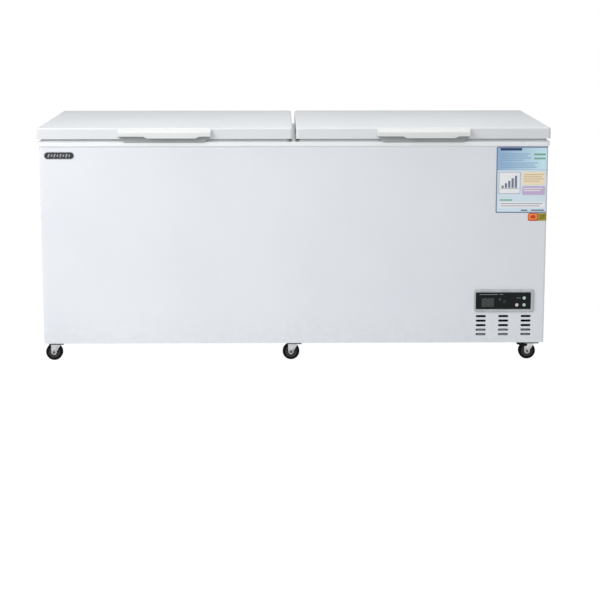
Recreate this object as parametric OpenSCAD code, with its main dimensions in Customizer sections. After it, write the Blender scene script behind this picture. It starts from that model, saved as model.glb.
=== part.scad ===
// Twin-lid chest freezer on casters, in millimetres.
// X runs to the right as seen from the front, Y runs to the back, Z is up, and the floor is at z = 0.

/* [Cabinet] */
// Width of the steel cabinet
cabinet_w = 1837; // [1500:1:2200]
// Depth of the steel cabinet
cabinet_d = 687; // [600:1:800]
// Height of the steel cabinet, up to its rim
cabinet_h = 728; // [640:1:800]
// Thickness of the painted sheets
sheet_t = 1; // [0.6:0.1:1.6]
// Thickness of the base sheets
pan_t = 1.5; // [1:0.1:2.5]
// Bend radius of the upright front edges
bend_r = 9; // [4:0.5:14]
// Thickness of the insulated side walls
wall_t = 70; // [60:1:90]
// Thickness of the insulated floor
floor_t = 75; // [60:1:95]

/* [Well] */
// Thickness of the inner liner
liner_t = 1; // [0.6:0.1:2]
// Corner radius of the liner
well_r = 22; // [12:1:40]
// Width of the liner's top flange
liner_flange = 14; // [8:1:25]

/* [Rim and mullion] */
// Height of the plastic rim
rim_h = 15.5; // [12:0.5:24]
// How far the rim stands out past the cabinet
rim_overhang = 5.5; // [4:0.5:6]
// Thickness of the rim's top
rim_t = 3; // [2:0.5:5]
// Thickness of the lip that hangs inside the liner
lip_t = 3; // [2:0.5:5]
// Width of the bar under the seam of the lids
mullion_w = 84; // [80:1:120]
// Height of the bar under the seam of the lids
mullion_h = 45; // [30:1:80]
// Wall of the bar under the seam of the lids
mullion_wall = 3; // [2:0.5:5]

/* [Lids] */
// How far a lid stands out past the cabinet
lid_overhang = 6.5; // [6.5:0.5:10]
// Gap between the two lids
seam_gap = 13.5; // [8:0.5:20]
// Height of a lid's steel shell
lid_h = 40.5; // [34:0.5:60]
// Radius along a lid's upper edges
lid_edge_r = 7; // [3:0.5:12]
// Radius of a lid's upright corners
lid_corner_r = 10; // [10:1:30]
// Width of the fold along a lid's lower edge
lid_fold = 9; // [5:0.5:9.5]
// Thickness of the lid liner
lid_liner_t = 3; // [2:0.5:4]
// How far the lid liner reaches down below the top of the rim
plug_drop = 11; // [5:1:20]
// Gap between the lid liner and the walls of the well
plug_gap = 8; // [6:1:15]

/* [Gasket] */
// Height of the gasket between rim and lid
gasket_h = 11; // [8:0.5:14]
// Width of the gasket's foot
gasket_w = 16; // [12:0.5:20]
// Distance of the gasket from the lid's edge
gasket_inset = 10; // [10:0.5:14]
// Height of the gasket's foot, which holds the magnet
gasket_foot_h = 4; // [2.5:0.5:5]
// Width of the dart that presses into the lid liner
dart_w = 4; // [3:0.5:5]
// Height of the dart that presses into the lid liner
dart_h = 3.2; // [2:0.2:4]

/* [Handles] */
// Length of a handle along its upper edge
handle_l = 334; // [240:1:420]
// How much each lower corner of a handle is cut back
handle_taper = 22; // [10:1:40]
// How far a handle stands out from the lid
handle_depth = 24; // [20:1:40]
// Distance from the lower edge of the lid up to a handle's upper edge
handle_h = 37; // [32:0.5:38]
// How much a handle's top falls from the lid to its nose
handle_fall = 10; // [4:0.5:12]
// Radius of a handle's nose
handle_nose_r = 5; // [4:0.5:8]
// How far a handle's back plate hangs below the lid
handle_skirt = 13; // [2:0.5:13]
// Distance from the lower edge of the lid up to a handle's lip
handle_lip = 4; // [2:0.5:8]
// How much higher the lip is near the ends
handle_notch = 6.5; // [0:0.5:8]
// Length of the higher lip at a handle's left end
notch_left_l = 92; // [40:1:100]
// Length of the higher lip at a handle's right end
notch_right_l = 42; // [30:1:60]
// Wall of a handle
handle_wall = 3; // [2:0.5:4]

/* [Hinges] */
// Distance between the two hinges of a lid
hinge_spread = 600; // [300:1:720]
// Width of a hinge between the outer faces of its ears
hinge_w = 60; // [40:1:80]
// Thickness of an ear
ear_t = 3; // [2:0.5:5]
// Radius of an ear's end
ear_r = 7; // [6:0.5:8]
// Radius of the hinge pin
pin_r = 3; // [2:0.5:3.5]
// Outer radius of the knuckle
knuckle_r = 6; // [5:0.5:7]
// Distance from the lid's back face to the hinge axis
axis_back = 9; // [8.5:0.5:12]
// Distance from the lid's lower edge down to the hinge axis
axis_drop = 4; // [2:0.5:6]
// Thickness of the leaf on the lid
leaf_t = 2.5; // [1.5:0.5:3]
// Height of the spring housing
housing_h = 108; // [80:1:160]
// How far the spring housing stands out from the cabinet's back
housing_d = 30.5; // [26:0.5:40]
// Width of the screwed flange of the spring housing
housing_flange_w = 92; // [80:1:120]
// Thickness of the screwed flange
housing_flange_t = 2; // [1:0.5:3]

/* [Control panel] */
// Width of the bezel
bezel_w = 219; // [200:1:240]
// Height of the bezel
bezel_h = 85.5; // [80:0.5:100]
// How far the bezel stands out from the cabinet
bezel_out = 7; // [5:0.5:10]
// Corner radius of the bezel
bezel_r = 8; // [3:0.5:12]
// Distance from the cabinet's side to the bezel
bezel_from_side = 40; // [30:1:60]
// Distance from the cabinet's lower edge up to the bezel
bezel_up = 114.5; // [112:0.5:125]
// Width of the window
window_w = 200; // [180:1:200]
// Height of the window
window_h = 61; // [55:1:64]
// Thickness of the window
window_t = 3; // [2:0.5:4]
// How far the window's centre stands left of the bezel's centre
window_shift = 3; // [0:0.1:3]
// Depth of the box behind the bezel
tub_d = 24; // [20:1:34]
// Wall of the box behind the bezel
tub_wall = 2; // [1.5:0.5:3]
// Radius of a button
button_r = 6; // [4:0.5:7]
// How far a button can be pressed
button_travel = 0.9; // [0.5:0.1:1]
// Distance of the right buttons from the window's centre
button_x = 76; // [70:1:84]
// Distance between the buttons, across and up
button_pitch = 26.5; // [20:0.5:30]
// Width of the display
display_w = 46; // [38:1:60]
// Height of the display
display_h = 30; // [24:1:40]
// Distance of the display from the window's centre
display_x = 56; // [45:1:62]

/* [Air slots] */
// Number of slots across
slot_columns = 3; // [1:1:3]
// Number of slots up
slot_rows = 5; // [2:1:5]
// Width of a slot
slot_w = 37; // [20:1:60]
// Height of a slot
slot_h = 8.5; // [4:0.5:9]
// Distance between slots across
slot_pitch_x = 82.4; // [70:0.1:90]
// Distance between slots up
slot_pitch_z = 17; // [12:0.5:18]
// Distance from the cabinet's side to the middle of the nearest slots
slot_from_side = 68.7; // [60:0.1:80]
// Distance from the cabinet's lower edge up to the middle of the lowest slots
slot_up = 31; // [20:0.5:36]

/* [Machine compartment] */
// Width of the machine compartment
bay_w = 300; // [280:1:400]
// Height of the machine compartment
bay_h = 235; // [230:1:280]
// Thickness of the insulation over and beside the machine compartment
bay_wall = 60; // [45:1:80]
// Radius of the compressor's shell
shell_r = 62; // [50:1:75]
// Height of the compressor's shell
shell_h = 165; // [130:1:185]
// Width of the condenser over its fins
condenser_w = 216; // [180:1:230]
// Height of the condenser
condenser_h = 178; // [150:1:200]
// Depth of the condenser
condenser_d = 45; // [30:1:60]
// Number of fins
fin_count = 19; // [9:1:25]
// Number of straight tubes in the condenser
tube_rows = 5; // [3:2:5]
// Radius of the fan over its blades
fan_r = 84; // [60:1:88]
// Number of fan blades
fan_blades = 5; // [3:1:7]
// Outer radius of the refrigerant pipes
pipe_r = 4; // [3:0.5:4.5]
// Number of rounds of the evaporator pipe
coil_rounds = 7; // [3:1:7]
// Distance between the rounds of the evaporator pipe
coil_pitch = 50; // [46:1:52]
// Number of louvres in the rear grille
louvre_count = 8; // [4:1:8]
// Length of a louvre
louvre_l = 200; // [150:1:220]

/* [Drain and cord inlet] */
// Outer radius of the drain tube
drain_r = 12; // [10:0.5:16]
// Bore radius of the drain tube
drain_bore_r = 9; // [6:0.5:9]
// How far the drain tube stands out below the cabinet
drain_out = 16; // [10:1:30]
// Bore radius of the cord gland
gland_bore_r = 4.2; // [3:0.1:5]
// Radius of the cord gland where it passes the back panel
gland_r = 9; // [8:0.5:12]

/* [Casters] */
// Wheel diameter
wheel_d = 62; // [50:1:75]
// Wheel width
wheel_w = 22; // [18:1:28]
// How far the wheel trails behind its swivel axis
trail = 12; // [10:1:16]
// Gap between the wheel and the fork's crown
crown_gap = 2.5; // [2.3:0.1:5]
// Sheet thickness of the fork
fork_t = 2.5; // [2:0.1:3]
// Length of the fork's crown
crown_l = 46; // [44:1:48]
// Width of the top plate
plate_w = 58; // [56:1:64]
// Depth of the top plate between the outer faces of its turned-down edges
plate_d = 68; // [68:1:74]
// Height of the top plate's turned-down edges
plate_edge_h = 6; // [3:0.5:6]
// Thickness of the top plate
plate_t = 3; // [2:0.5:4]
// Height of the bearing race
race_h = 2.7; // [2:0.1:5]
// Radius of the bearing race
race_r = 19; // [14:0.5:20]
// Radius of the king pin
king_r = 5; // [4:0.5:6]
// Radius of the axle
axle_r = 4; // [3:0.5:5]
// Distance from the cabinet's sides to the outer swivel axes
caster_from_side = 42.5; // [42:0.5:90]
// Distance from the cabinet's front and back to the swivel axes
caster_from_front = 52; // [48:1:90]
// Number of casters along the front
caster_columns = 3; // [2:1:3]

/* [Hidden] */
$fn = 48;

// Clearances
seat_gap = 0.2;
run_gap = 0.05;
turn_gap = 0.3;

// Heights of the main levels
base_z = wheel_d + crown_gap + fork_t + turn_gap + race_h + plate_t;
rim_z = base_z + cabinet_h;
rim_top = rim_z + rim_h;
liner_top = rim_top - rim_t;
foam_top = liner_top - liner_t;
lid_z = rim_top + gasket_h;
lid_top = lid_z + lid_h;
well_z = base_z + floor_t;
bay_z = base_z + bay_h;
step_z = bay_z + bay_wall;
plug_z = rim_top - plug_drop;

// The middle of the cabinet lies where handles and hinge housings reach equally far
lid_d = cabinet_d + 2 * lid_overhang;
mid_y = (lid_d / 2 + handle_depth - cabinet_d / 2 - housing_d) / 2;
front_y = mid_y - cabinet_d / 2;
back_y = mid_y + cabinet_d / 2;
lid_front = mid_y - lid_d / 2;
lid_back = mid_y + lid_d / 2;

// Widths
inner_x = cabinet_w / 2 - sheet_t;
well_w = cabinet_w - 2 * wall_t;
well_d = cabinet_d - 2 * wall_t;
open_w = well_w - 2 * (liner_t + seat_gap + lip_t);
open_d = well_d - 2 * (liner_t + seat_gap + lip_t);
lid_w = (cabinet_w + 2 * lid_overhang - seam_gap) / 2;
lid_x = (seam_gap + lid_w) / 2;
bay_x = cabinet_w / 2 - bay_w;
bay_mid = (bay_x + inner_x) / 2;
step_x = bay_x - bay_wall;
plug_x0 = mullion_w / 2 + plug_gap;
plug_x1 = open_w / 2 - plug_gap;
plug_d = open_d - 2 * plug_gap;
plug_r = 14;
plug_wall = 2;
dart_gap = 0.3;

// Hinge axis
axis_y = lid_back + axis_back;
axis_z = lid_z - axis_drop;
hinge_offsets = [-hinge_spread / 2, hinge_spread / 2];
housing_top = rim_z - 3;

// Casters
axle_z = wheel_d / 2;
crown_z = wheel_d + crown_gap;
plate_z = base_z - plate_t;
leg_gap = 1.5;
fork_w = wheel_w + 2 * (leg_gap + fork_t);
bolt_r = 3;
bolt_inset = [8, 9];
bolt_up = 7;
caster_x = cabinet_w / 2 - caster_from_side;
caster_ys = [front_y + caster_from_front, back_y - caster_from_front];
caster_xs = [for (i = [0 : caster_columns - 1]) -caster_x + i * 2 * caster_x / (caster_columns - 1)];
brake_x = 6;
pedal_end = trail + wheel_d / 2 + 7;
tread_l = 16;
tread_t = 3.5;
brake_z = crown_z - 8.5;
stub_r = 3;
cheek_t = 2;

// Control panel
bezel_x = cabinet_w / 2 - bezel_from_side - bezel_w / 2;
bezel_z = base_z + bezel_up + bezel_h / 2;
window_x = bezel_x - window_shift;
window_face = front_y - bezel_out + 1.5;
window_back = window_face + window_t;
ledge = 3;
tub_w = window_w - 2 * ledge + 2 * tub_wall;
tub_h = window_h - 2 * ledge + 2 * tub_wall;
board_y = front_y + tub_d - 14;
board_t = 1.6;
switch_h = 3.5;
display_drop = 5;
button_proud = 0.8;
button_rows = [bezel_z + 0.4 * button_pitch, bezel_z - 0.57 * button_pitch];

// Machine compartment
floor_z = base_z + pan_t;
condenser_y = front_y + caster_from_front + plate_d / 2 + 1 + condenser_d / 2;
tube_pitch = condenser_h / tube_rows;
tube_z0 = floor_z + tube_pitch / 2;
tube_end = condenser_w / 2 + 4;
fin_t = 0.8;
shroud_y = condenser_y + condenser_d / 2 + 12;
shroud_t = 2;
shroud_side = 2 * (fan_r + 4) + 36;
fan_z = floor_z + shroud_side / 2;
shroud_ring_d = 30;
arm_t = 3;
motor_y = shroud_y + shroud_ring_d + arm_t;
motor_r = 32;
motor_l = 42;
shaft_r = 3;
compressor_y = mid_y + 40;
foot_h = 12;
shell_z = floor_z + foot_h + 6;
side_pipe = 14;
stub_z = shell_z + 60;
stub_reach = shell_r + 10;
stud_r = 3.5;
drier_y = shroud_y + 60;
drier_l = 90;
drier_r = 9;
grille_z0 = base_z + 22;
grille_h = 172;
grille_w = louvre_l + 60;
grille_t = 1.5;
louvre_r = 8;
screw_r = 1.9;
coil_z0 = step_z + 50;
coil_space = 2 * pipe_r + 1;
coil_bend = 20;
gland_x = bay_mid - 95;
gland_z = bay_z - 20;

// Drain
drain_x = -(well_w / 2 - 120);
drain_flange_r = drain_r + 7;
spigot_step = 1;
plug_stem = 22;

// Painted, plastic and metal colours
white_paint = [0.9, 0.91, 0.93];
white_plastic = [0.94, 0.95, 0.96];
liner_grey = [0.78, 0.8, 0.82];
zinc = [0.62, 0.64, 0.66];
fork_zinc = [0.75, 0.77, 0.79];
copper = [0.75, 0.45, 0.3];
black = [0.08, 0.08, 0.09];
foam_yellow = [0.9, 0.82, 0.6];
gasket_grey = [0.6, 0.62, 0.64];
bezel_silver = [0.66, 0.68, 0.69];

// Rectangle with round corners
module round_rect(w, d, r) {
    square([w - 2 * r, d], center = true);
    square([w, d - 2 * r], center = true);
    for (x = [-1, 1], y = [-1, 1])
        translate([x * (w / 2 - r), y * (d / 2 - r)])
            circle(r);
}

// Upright ring between two insets of a rounded rectangle
module ring(w, d, r, inset0, inset1, z, h) {
    translate([0, 0, z])
        linear_extrude(h)
            difference() {
                round_rect(w - 2 * inset0, d - 2 * inset0, max(r - inset0, 1));
                round_rect(w - 2 * inset1, d - 2 * inset1, max(r - inset1, 0.6));
            }
}

// Block with round upper edges and round upright corners, standing on z = 0
module soft_block(w, d, h, edge_r, corner_r) {
    linear_extrude(h - edge_r)
        round_rect(w, d, corner_r);
    linear_extrude(h)
        round_rect(w - 2 * edge_r, d - 2 * edge_r, max(corner_r - edge_r, 0.5));
    translate([0, 0, h - edge_r]) {
        for (y = [-1, 1])
            along_x(-w / 2 + corner_r, y * (d / 2 - edge_r), 0, edge_r, w - 2 * corner_r);
        for (x = [-1, 1])
            along_y(x * (w / 2 - edge_r), -d / 2 + corner_r, 0, edge_r, d - 2 * corner_r);
        for (a = [0 : 90 : 270]) {
            along = a % 180 == 0 ? w : d;
            across = w + d - along;
            rotate([0, 0, a])
                translate([along / 2 - corner_r, across / 2 - corner_r, 0])
                    corner_bead(corner_r, edge_r);
        }
    }
}

// Quarter of a ring whose outer edge is round
module corner_bead(outer_r, r) {
    rotate_extrude(angle = 90)
        intersection() {
            translate([outer_r - r, 0])
                circle(r);
            translate([0, -r])
                square([outer_r, 2 * r]);
        }
}

// Box given by its two opposite corners
module span(low, high) {
    translate(low)
        cube(high - low);
}

// Cylinder along Y that starts at y and runs l to the back
module along_y(x, y, z, r, l) {
    translate([x, y, z])
        rotate([-90, 0, 0])
            cylinder(r = r, h = l);
}

// Cylinder along X that starts at x and runs l to the right
module along_x(x, y, z, r, l) {
    translate([x, y, z])
        rotate([0, 90, 0])
            cylinder(r = r, h = l);
}

// Straight round bar between two points
module bar(p, q, r) {
    v = q - p;
    l = norm(v);
    if (l > 0.01)
        translate(p)
            rotate([0, acos(v[2] / l), atan2(v[1], v[0])])
                cylinder(r = r, h = l);
}

// Quarter bend that leaves along u and arrives along v
module bend(corner, u, v, pipe_radius, bend_radius) {
    c = corner - u * bend_radius + v * bend_radius;
    n = cross(u, v);
    multmatrix([[-v[0], u[0], n[0], c[0]],
                [-v[1], u[1], n[1], c[1]],
                [-v[2], u[2], n[2], c[2]],
                [0, 0, 0, 1]])
        rotate_extrude(angle = 90)
            translate([bend_radius, 0])
                circle(pipe_radius, $fn = 24);
}

// Pipe through points, square at every corner, with round bends
module pipe(points, pipe_radius, bend_radius) {
    last = len(points) - 1;
    for (i = [0 : last - 1]) {
        u = (points[i + 1] - points[i]) / norm(points[i + 1] - points[i]);
        from = i == 0 ? points[i] : points[i] + u * bend_radius;
        to = i == last - 1 ? points[i + 1] : points[i + 1] - u * bend_radius;
        bar(from, to, pipe_radius, $fn = 24);
        if (i < last - 1) {
            v = (points[i + 2] - points[i + 1]) / norm(points[i + 2] - points[i + 1]);
            bend(points[i + 1], u, v, pipe_radius, bend_radius);
        }
    }
}

// Plan of the cabinet, drawn in by inset, with bent front corners
module cabinet_plan(inset, back) {
    w = cabinet_w - 2 * inset;
    r = max(bend_r - inset, 0.5);
    y = front_y + inset;
    translate([-w / 2, y + r])
        square([w, back - y - r]);
    translate([-w / 2 + r, y])
        square([w - 2 * r, back - y]);
    for (x = [-1, 1])
        translate([x * (w / 2 - r), y + r])
            circle(r);
}

// Painted sheet that forms the front and both sides
module cabinet_wrap() {
    color(white_paint)
        difference() {
            translate([0, 0, base_z])
                linear_extrude(liner_top - seat_gap - base_z)
                    difference() {
                        cabinet_plan(0, back_y - sheet_t);
                        cabinet_plan(sheet_t, back_y + 1);
                    }
            air_slots();
            translate([window_x, front_y, bezel_z])
                rotate([90, 0, 0])
                    linear_extrude(6 * sheet_t, center = true)
                        round_rect(tub_w + 1, tub_h + 1, 2);
        }
}

module air_slots() {
    for (i = [0 : slot_columns - 1], j = [0 : slot_rows - 1])
        translate([cabinet_w / 2 - slot_from_side - i * slot_pitch_x, front_y,
                   base_z + slot_up + j * slot_pitch_z])
            rotate([90, 0, 0])
                linear_extrude(6 * sheet_t, center = true) {
                    square([slot_w - slot_h, slot_h], center = true);
                    for (x = [-1, 1])
                        translate([x * (slot_w - slot_h) / 2, 0])
                            circle(slot_h / 2);
                }
}

module back_panel() {
    color(zinc)
        difference() {
            span([-cabinet_w / 2, back_y - sheet_t, base_z],
                 [cabinet_w / 2, back_y, liner_top - seat_gap]);
            span([bay_mid - grille_w / 2 + 14, back_y - 5, grille_z0 + 12],
                 [bay_mid + grille_w / 2 - 14, back_y + 5, grille_z0 + grille_h - 12]);
            along_y(gland_x, back_y - 5, gland_z, gland_r + seat_gap, 10);
            for (p = grille_corners())
                along_y(p[0], back_y - 5, p[1], screw_r + 0.1, 10);
        }
}

function grille_corners() = [for (x = [-1, 1], z = [6, grille_h - 6])
    [bay_mid + x * (grille_w / 2 - 7), grille_z0 + z]];

// Sheet under the insulation, folded up and over the machine compartment
module base_pan() {
    color(zinc)
        difference() {
            intersection() {
                translate([0, 0, base_z - 1])
                    linear_extrude(cabinet_h)
                        cabinet_plan(sheet_t, back_y - sheet_t);
                union() {
                    span([-cabinet_w / 2, front_y, base_z], [bay_x, back_y, floor_z]);
                    span([bay_x - pan_t, front_y, base_z], [bay_x, back_y, bay_z + pan_t]);
                    span([bay_x - pan_t, front_y, bay_z], [cabinet_w / 2, back_y, bay_z + pan_t]);
                }
            }
            translate([drain_x, mid_y, base_z - 1])
                cylinder(r = drain_r + seat_gap, h = pan_t + 2);
            caster_holes(base_z - 1, pan_t + 2, bolt_r + 0.2);
        }
}

// Sheet under the machine compartment
module compressor_tray() {
    color(zinc) {
        difference() {
            intersection() {
                translate([0, 0, base_z])
                    linear_extrude(pan_t)
                        cabinet_plan(sheet_t, back_y - sheet_t);
                span([bay_x, front_y, base_z], [cabinet_w / 2, back_y, floor_z]);
            }
            caster_holes(base_z - 1, pan_t + 2, bolt_r + 0.2);
            for (i = [-2 : 2])
                translate([bay_mid + i * 34, compressor_y + 150, base_z])
                    cube([8, 70, 3 * pan_t], center = true);
        }
        for (p = grommet_spots())
            translate([p[0], p[1], floor_z])
                cylinder(r = stud_r, h = foot_h + 8);
    }
}

function grommet_spots() = [for (x = [-1, 1], y = [-1, 1])
    [bay_mid + x * (shell_r + 12), compressor_y + y * (shell_r - 8)]];

// Hollow of the well, drawn in by inset: straight walls, coved floor edges and the raised step
module well_shape(inset, top) {
    r = well_r - inset;
    x0 = -well_w / 2 + inset;
    x1 = well_w / 2 - inset;
    intersection() {
        translate([0, mid_y, well_z])
            linear_extrude(top - well_z)
                round_rect(well_w - 2 * inset, well_d - 2 * inset, r);
        translate([0, mid_y, 0])
            rotate([90, 0, 0])
                linear_extrude(well_d + 2, center = true) {
                    cove(x0, step_x - inset, well_z + inset, top, r);
                    cove(x0, x1, step_z + inset, top, r);
                }
        translate([0, mid_y, 0])
            rotate([90, 0, 90])
                linear_extrude(well_w + 2, center = true)
                    cove(-well_d / 2 + inset, well_d / 2 - inset, well_z + inset, top, r);
    }
}

// Rectangle with round lower corners
module cove(x0, x1, z0, z1, r) {
    translate([x0, z0 + r])
        square([x1 - x0, z1 - z0 - r]);
    translate([x0 + r, z0])
        square([x1 - x0 - 2 * r, z1 - z0]);
    translate([x0 + r, z0 + r])
        circle(r);
    translate([x1 - r, z0 + r])
        circle(r);
}

module inner_liner() {
    color(liner_grey)
        difference() {
            union() {
                well_shape(0, liner_top);
                translate([0, mid_y, 0])
                    ring(well_w, well_d, well_r + liner_flange, -liner_flange, 5,
                         foam_top, liner_t);
            }
            well_shape(liner_t, liner_top + 1);
            translate([drain_x, mid_y, well_z - 1])
                cylinder(r = drain_r + seat_gap, h = liner_t + 2);
        }
}

// Foam as blocks with hairline joints: walls, floor and the step over the machine compartment
function foam_blocks() =
    let (x = cabinet_w / 2, wall_x = well_w / 2, wall_y = well_d / 2, in_y = wall_y - turn_gap,
         bay_edge = bay_x - pan_t, bay_top = bay_z + pan_t, past_edge = bay_edge + turn_gap)
    [[[-x, -x, floor_z], [bay_edge, -wall_y, foam_top]],
     [[past_edge, -x, bay_top], [x, -wall_y, foam_top]],
     [[-x, wall_y, floor_z], [bay_edge, x, foam_top]],
     [[past_edge, wall_y, bay_top], [x, x, foam_top]],
     [[-x, -in_y, floor_z], [-wall_x, in_y, foam_top]],
     [[wall_x, -in_y, bay_top], [x, in_y, foam_top]],
     [[turn_gap - wall_x, -in_y, floor_z], [bay_edge, in_y, well_z]],
     [[step_x, -in_y, well_z + turn_gap], [bay_edge, in_y, step_z]],
     [[past_edge, -in_y, bay_top], [wall_x - turn_gap, in_y, step_z]]];

module insulation_foam() {
    color(foam_yellow)
        difference() {
            intersection() {
                translate([0, 0, floor_z])
                    linear_extrude(foam_top - floor_z)
                        cabinet_plan(sheet_t, back_y - sheet_t);
                translate([0, mid_y, 0])
                    for (b = foam_blocks())
                        span(b[0], b[1]);
            }
            translate([0, mid_y, coil_z0 - 12])
                linear_extrude((coil_rounds - 1) * coil_pitch + 24)
                    round_rect(well_w + 2 * coil_space, well_d + 2 * coil_space,
                               coil_bend + pipe_r);
            translate([drain_x, mid_y, base_z])
                cylinder(r = drain_r, h = floor_t + 2);
            caster_holes(base_z, bolt_up + 2, bolt_r + 3);
        }
}

// Plastic frame over the top of the walls, with a skirt outside and a lip inside
module top_rim() {
    color(white_plastic)
        difference() {
            translate([0, mid_y, rim_z])
                linear_extrude(rim_h)
                    round_rect(cabinet_w + 2 * rim_overhang, cabinet_d + 2 * rim_overhang,
                               bend_r + rim_overhang);
            translate([0, 0, rim_z - 1])
                linear_extrude(rim_h + 1 - rim_t)
                    difference() {
                        cabinet_plan(-seat_gap, back_y + seat_gap);
                        translate([0, mid_y])
                            round_rect(open_w + 2 * lip_t, open_d + 2 * lip_t,
                                       well_r - liner_t - seat_gap);
                    }
            translate([0, mid_y, rim_z - 1])
                linear_extrude(rim_h + 2)
                    round_rect(open_w, open_d, max(well_r - liner_t - seat_gap - lip_t, 1));
        }
}

// Hollow bar that carries the gaskets where the two lids meet
module centre_mullion() {
    color(white_plastic)
        translate([0, mid_y, 0])
            rotate([90, 0, 0])
                linear_extrude(open_d - 2 * seat_gap, center = true)
                    difference() {
                        cove(-mullion_w / 2, mullion_w / 2, rim_top - mullion_h, rim_top, 10);
                        cove(-mullion_w / 2 + mullion_wall, mullion_w / 2 - mullion_wall,
                             rim_top - mullion_h + mullion_wall, rim_top - mullion_wall,
                             10 - mullion_wall);
                    }
}

// One unbroken pipe that runs round the liner, up a step, and back round
function coil_points() =
    let (x = well_w / 2 + seat_gap + pipe_r, y = well_d / 2 + seat_gap + pipe_r, gap = 60)
    [for (i = [0 : coil_rounds - 1])
        let (s = i % 2 == 0 ? 1 : -1, z = coil_z0 + i * coil_pitch)
        each [[-s * gap, mid_y + y, z], [-s * x, mid_y + y, z], [-s * x, mid_y - y, z],
              [s * x, mid_y - y, z], [s * x, mid_y + y, z], [s * gap, mid_y + y, z]]];

module evaporator_coil() {
    color(copper)
        pipe(coil_points(), pipe_r, coil_bend);
}

// Tube through the floor, with a flange in the well and a narrower hose end below
module drain_tube() {
    color(white_plastic)
        translate([drain_x, mid_y, 0])
            difference() {
                union() {
                    translate([0, 0, base_z - 2])
                        cylinder(r = drain_r, h = floor_t + liner_t + 2);
                    translate([0, 0, base_z - drain_out])
                        cylinder(r = drain_r - spigot_step, h = drain_out);
                    translate([0, 0, well_z + liner_t])
                        cylinder(r = drain_flange_r, h = 2);
                }
                translate([0, 0, base_z - drain_out - 1])
                    cylinder(r = drain_bore_r, h = floor_t + drain_out + 10);
            }
}

// Stem in the tube's bore, with a collar and a finger tab above
module drain_plug() {
    color(gasket_grey)
        translate([drain_x, mid_y, well_z + liner_t + 2]) {
            translate([0, 0, -plug_stem])
                cylinder(r = drain_bore_r - 2 * run_gap, h = plug_stem + 1);
            cylinder(r = drain_bore_r + 6, h = 4);
            difference() {
                translate([-2.5, -9, 3])
                    cube([5, 18, 13]);
                translate([-5, 0, 10])
                    rotate([0, 90, 0])
                        cylinder(r = 3.5, h = 10);
            }
        }
}

// Domed shell with its weld seam, feet and pipe stubs
module compressor_shell() {
    r = shell_r;
    h = shell_h;
    dome = 26;
    color(black)
        translate([bay_mid, compressor_y, 0])
            difference() {
                union() {
                    translate([0, 0, shell_z])
                        rotate_extrude($fn = 64) {
                            square([r, h - dome]);
                            square([r - dome, h]);
                            translate([r - dome, h - dome])
                                intersection() {
                                    circle(dome);
                                    square(dome);
                                }
                            translate([0, h * 0.55])
                                square([r + 5, 6]);
                        }
                    translate([0, 0, floor_z + foot_h])
                        linear_extrude(6 + 1)
                            round_rect(2 * shell_r + 50, 2 * shell_r + 8, 12);
                    along_x(-stub_reach, 0, stub_z, pipe_r + 1, 20);
                    along_x(stub_reach - 20, 0, stub_z, pipe_r + 1, 20);
                }
                for (p = grommet_spots())
                    translate([p[0] - bay_mid, p[1] - compressor_y, floor_z + foot_h - 1])
                        cylinder(r = 6, h = 10);
            }
}

module compressor_grommets() {
    color([0.15, 0.15, 0.16])
        for (p = grommet_spots())
            translate([p[0], p[1], floor_z])
                difference() {
                    union() {
                        cylinder(r = 11, h = foot_h);
                        cylinder(r = 6 - run_gap, h = foot_h + 7);
                    }
                    translate([0, 0, -1])
                        cylinder(r = stud_r + run_gap, h = foot_h + 10);
                }
}

// Box over the compressor's terminals, on the side that faces the rear grille
module terminal_cover() {
    color([0.2, 0.2, 0.21])
        translate([bay_mid, compressor_y, shell_z + 20])
            difference() {
                translate([-32, shell_r - 14, 0])
                    cube([64, 46, 58]);
                translate([0, 0, -1])
                    cylinder(r = shell_r + seat_gap, h = 100, $fn = 64);
                translate([-29, shell_r + 4, -1])
                    cube([58, 25, 56]);
            }
}

module condenser_fins() {
    color([0.7, 0.72, 0.74])
        for (i = [0 : fin_count - 1]) {
            x = bay_mid - condenser_w / 2 + i * (condenser_w - fin_t) / (fin_count - 1);
            difference() {
                span([x, condenser_y - condenser_d / 2, floor_z],
                     [x + fin_t, condenser_y + condenser_d / 2, floor_z + condenser_h]);
                for (j = [0 : tube_rows - 1])
                    along_x(x - 1, condenser_y, tube_z0 + j * tube_pitch, pipe_r + run_gap, 3);
            }
        }
}

function condenser_points() =
    [for (j = [0 : tube_rows - 1])
        let (s = j % 2 == 0 ? 1 : -1, z = tube_z0 + j * tube_pitch,
             reach = tube_end + tube_pitch / 2)
        each [[bay_mid + (j == 0 ? s * tube_end : s * reach), condenser_y, z],
              [bay_mid - (j == tube_rows - 1 ? s * tube_end : s * reach), condenser_y, z]]];

module condenser_tubes() {
    color(copper)
        pipe(condenser_points(), pipe_r, tube_pitch / 2);
}

// Plate with a round throat for the fan and three arms that hold the motor
module fan_shroud() {
    color(black) {
        difference() {
            union() {
                span([bay_mid - shroud_side / 2, shroud_y, floor_z],
                     [bay_mid + shroud_side / 2, shroud_y + shroud_t, floor_z + shroud_side]);
                along_y(bay_mid, shroud_y, fan_z, fan_r + 6, shroud_ring_d + arm_t);
            }
            along_y(bay_mid, shroud_y - 1, fan_z, fan_r + 4, shroud_ring_d + 10);
        }
        difference() {
            intersection() {
                along_y(bay_mid, motor_y - arm_t, fan_z, fan_r + 5, arm_t);
                union() {
                    along_y(bay_mid, motor_y - arm_t, fan_z, motor_r - 2, arm_t);
                    for (a = [90, 210, 330])
                        translate([bay_mid, motor_y - arm_t / 2, fan_z])
                            rotate([0, a, 0])
                                translate([fan_r / 2 + 4, 0, 0])
                                    cube([fan_r + 8, arm_t, 12], center = true);
                }
            }
            along_y(bay_mid, motor_y - arm_t - 1, fan_z, 12, arm_t + 2);
        }
    }
}

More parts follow.
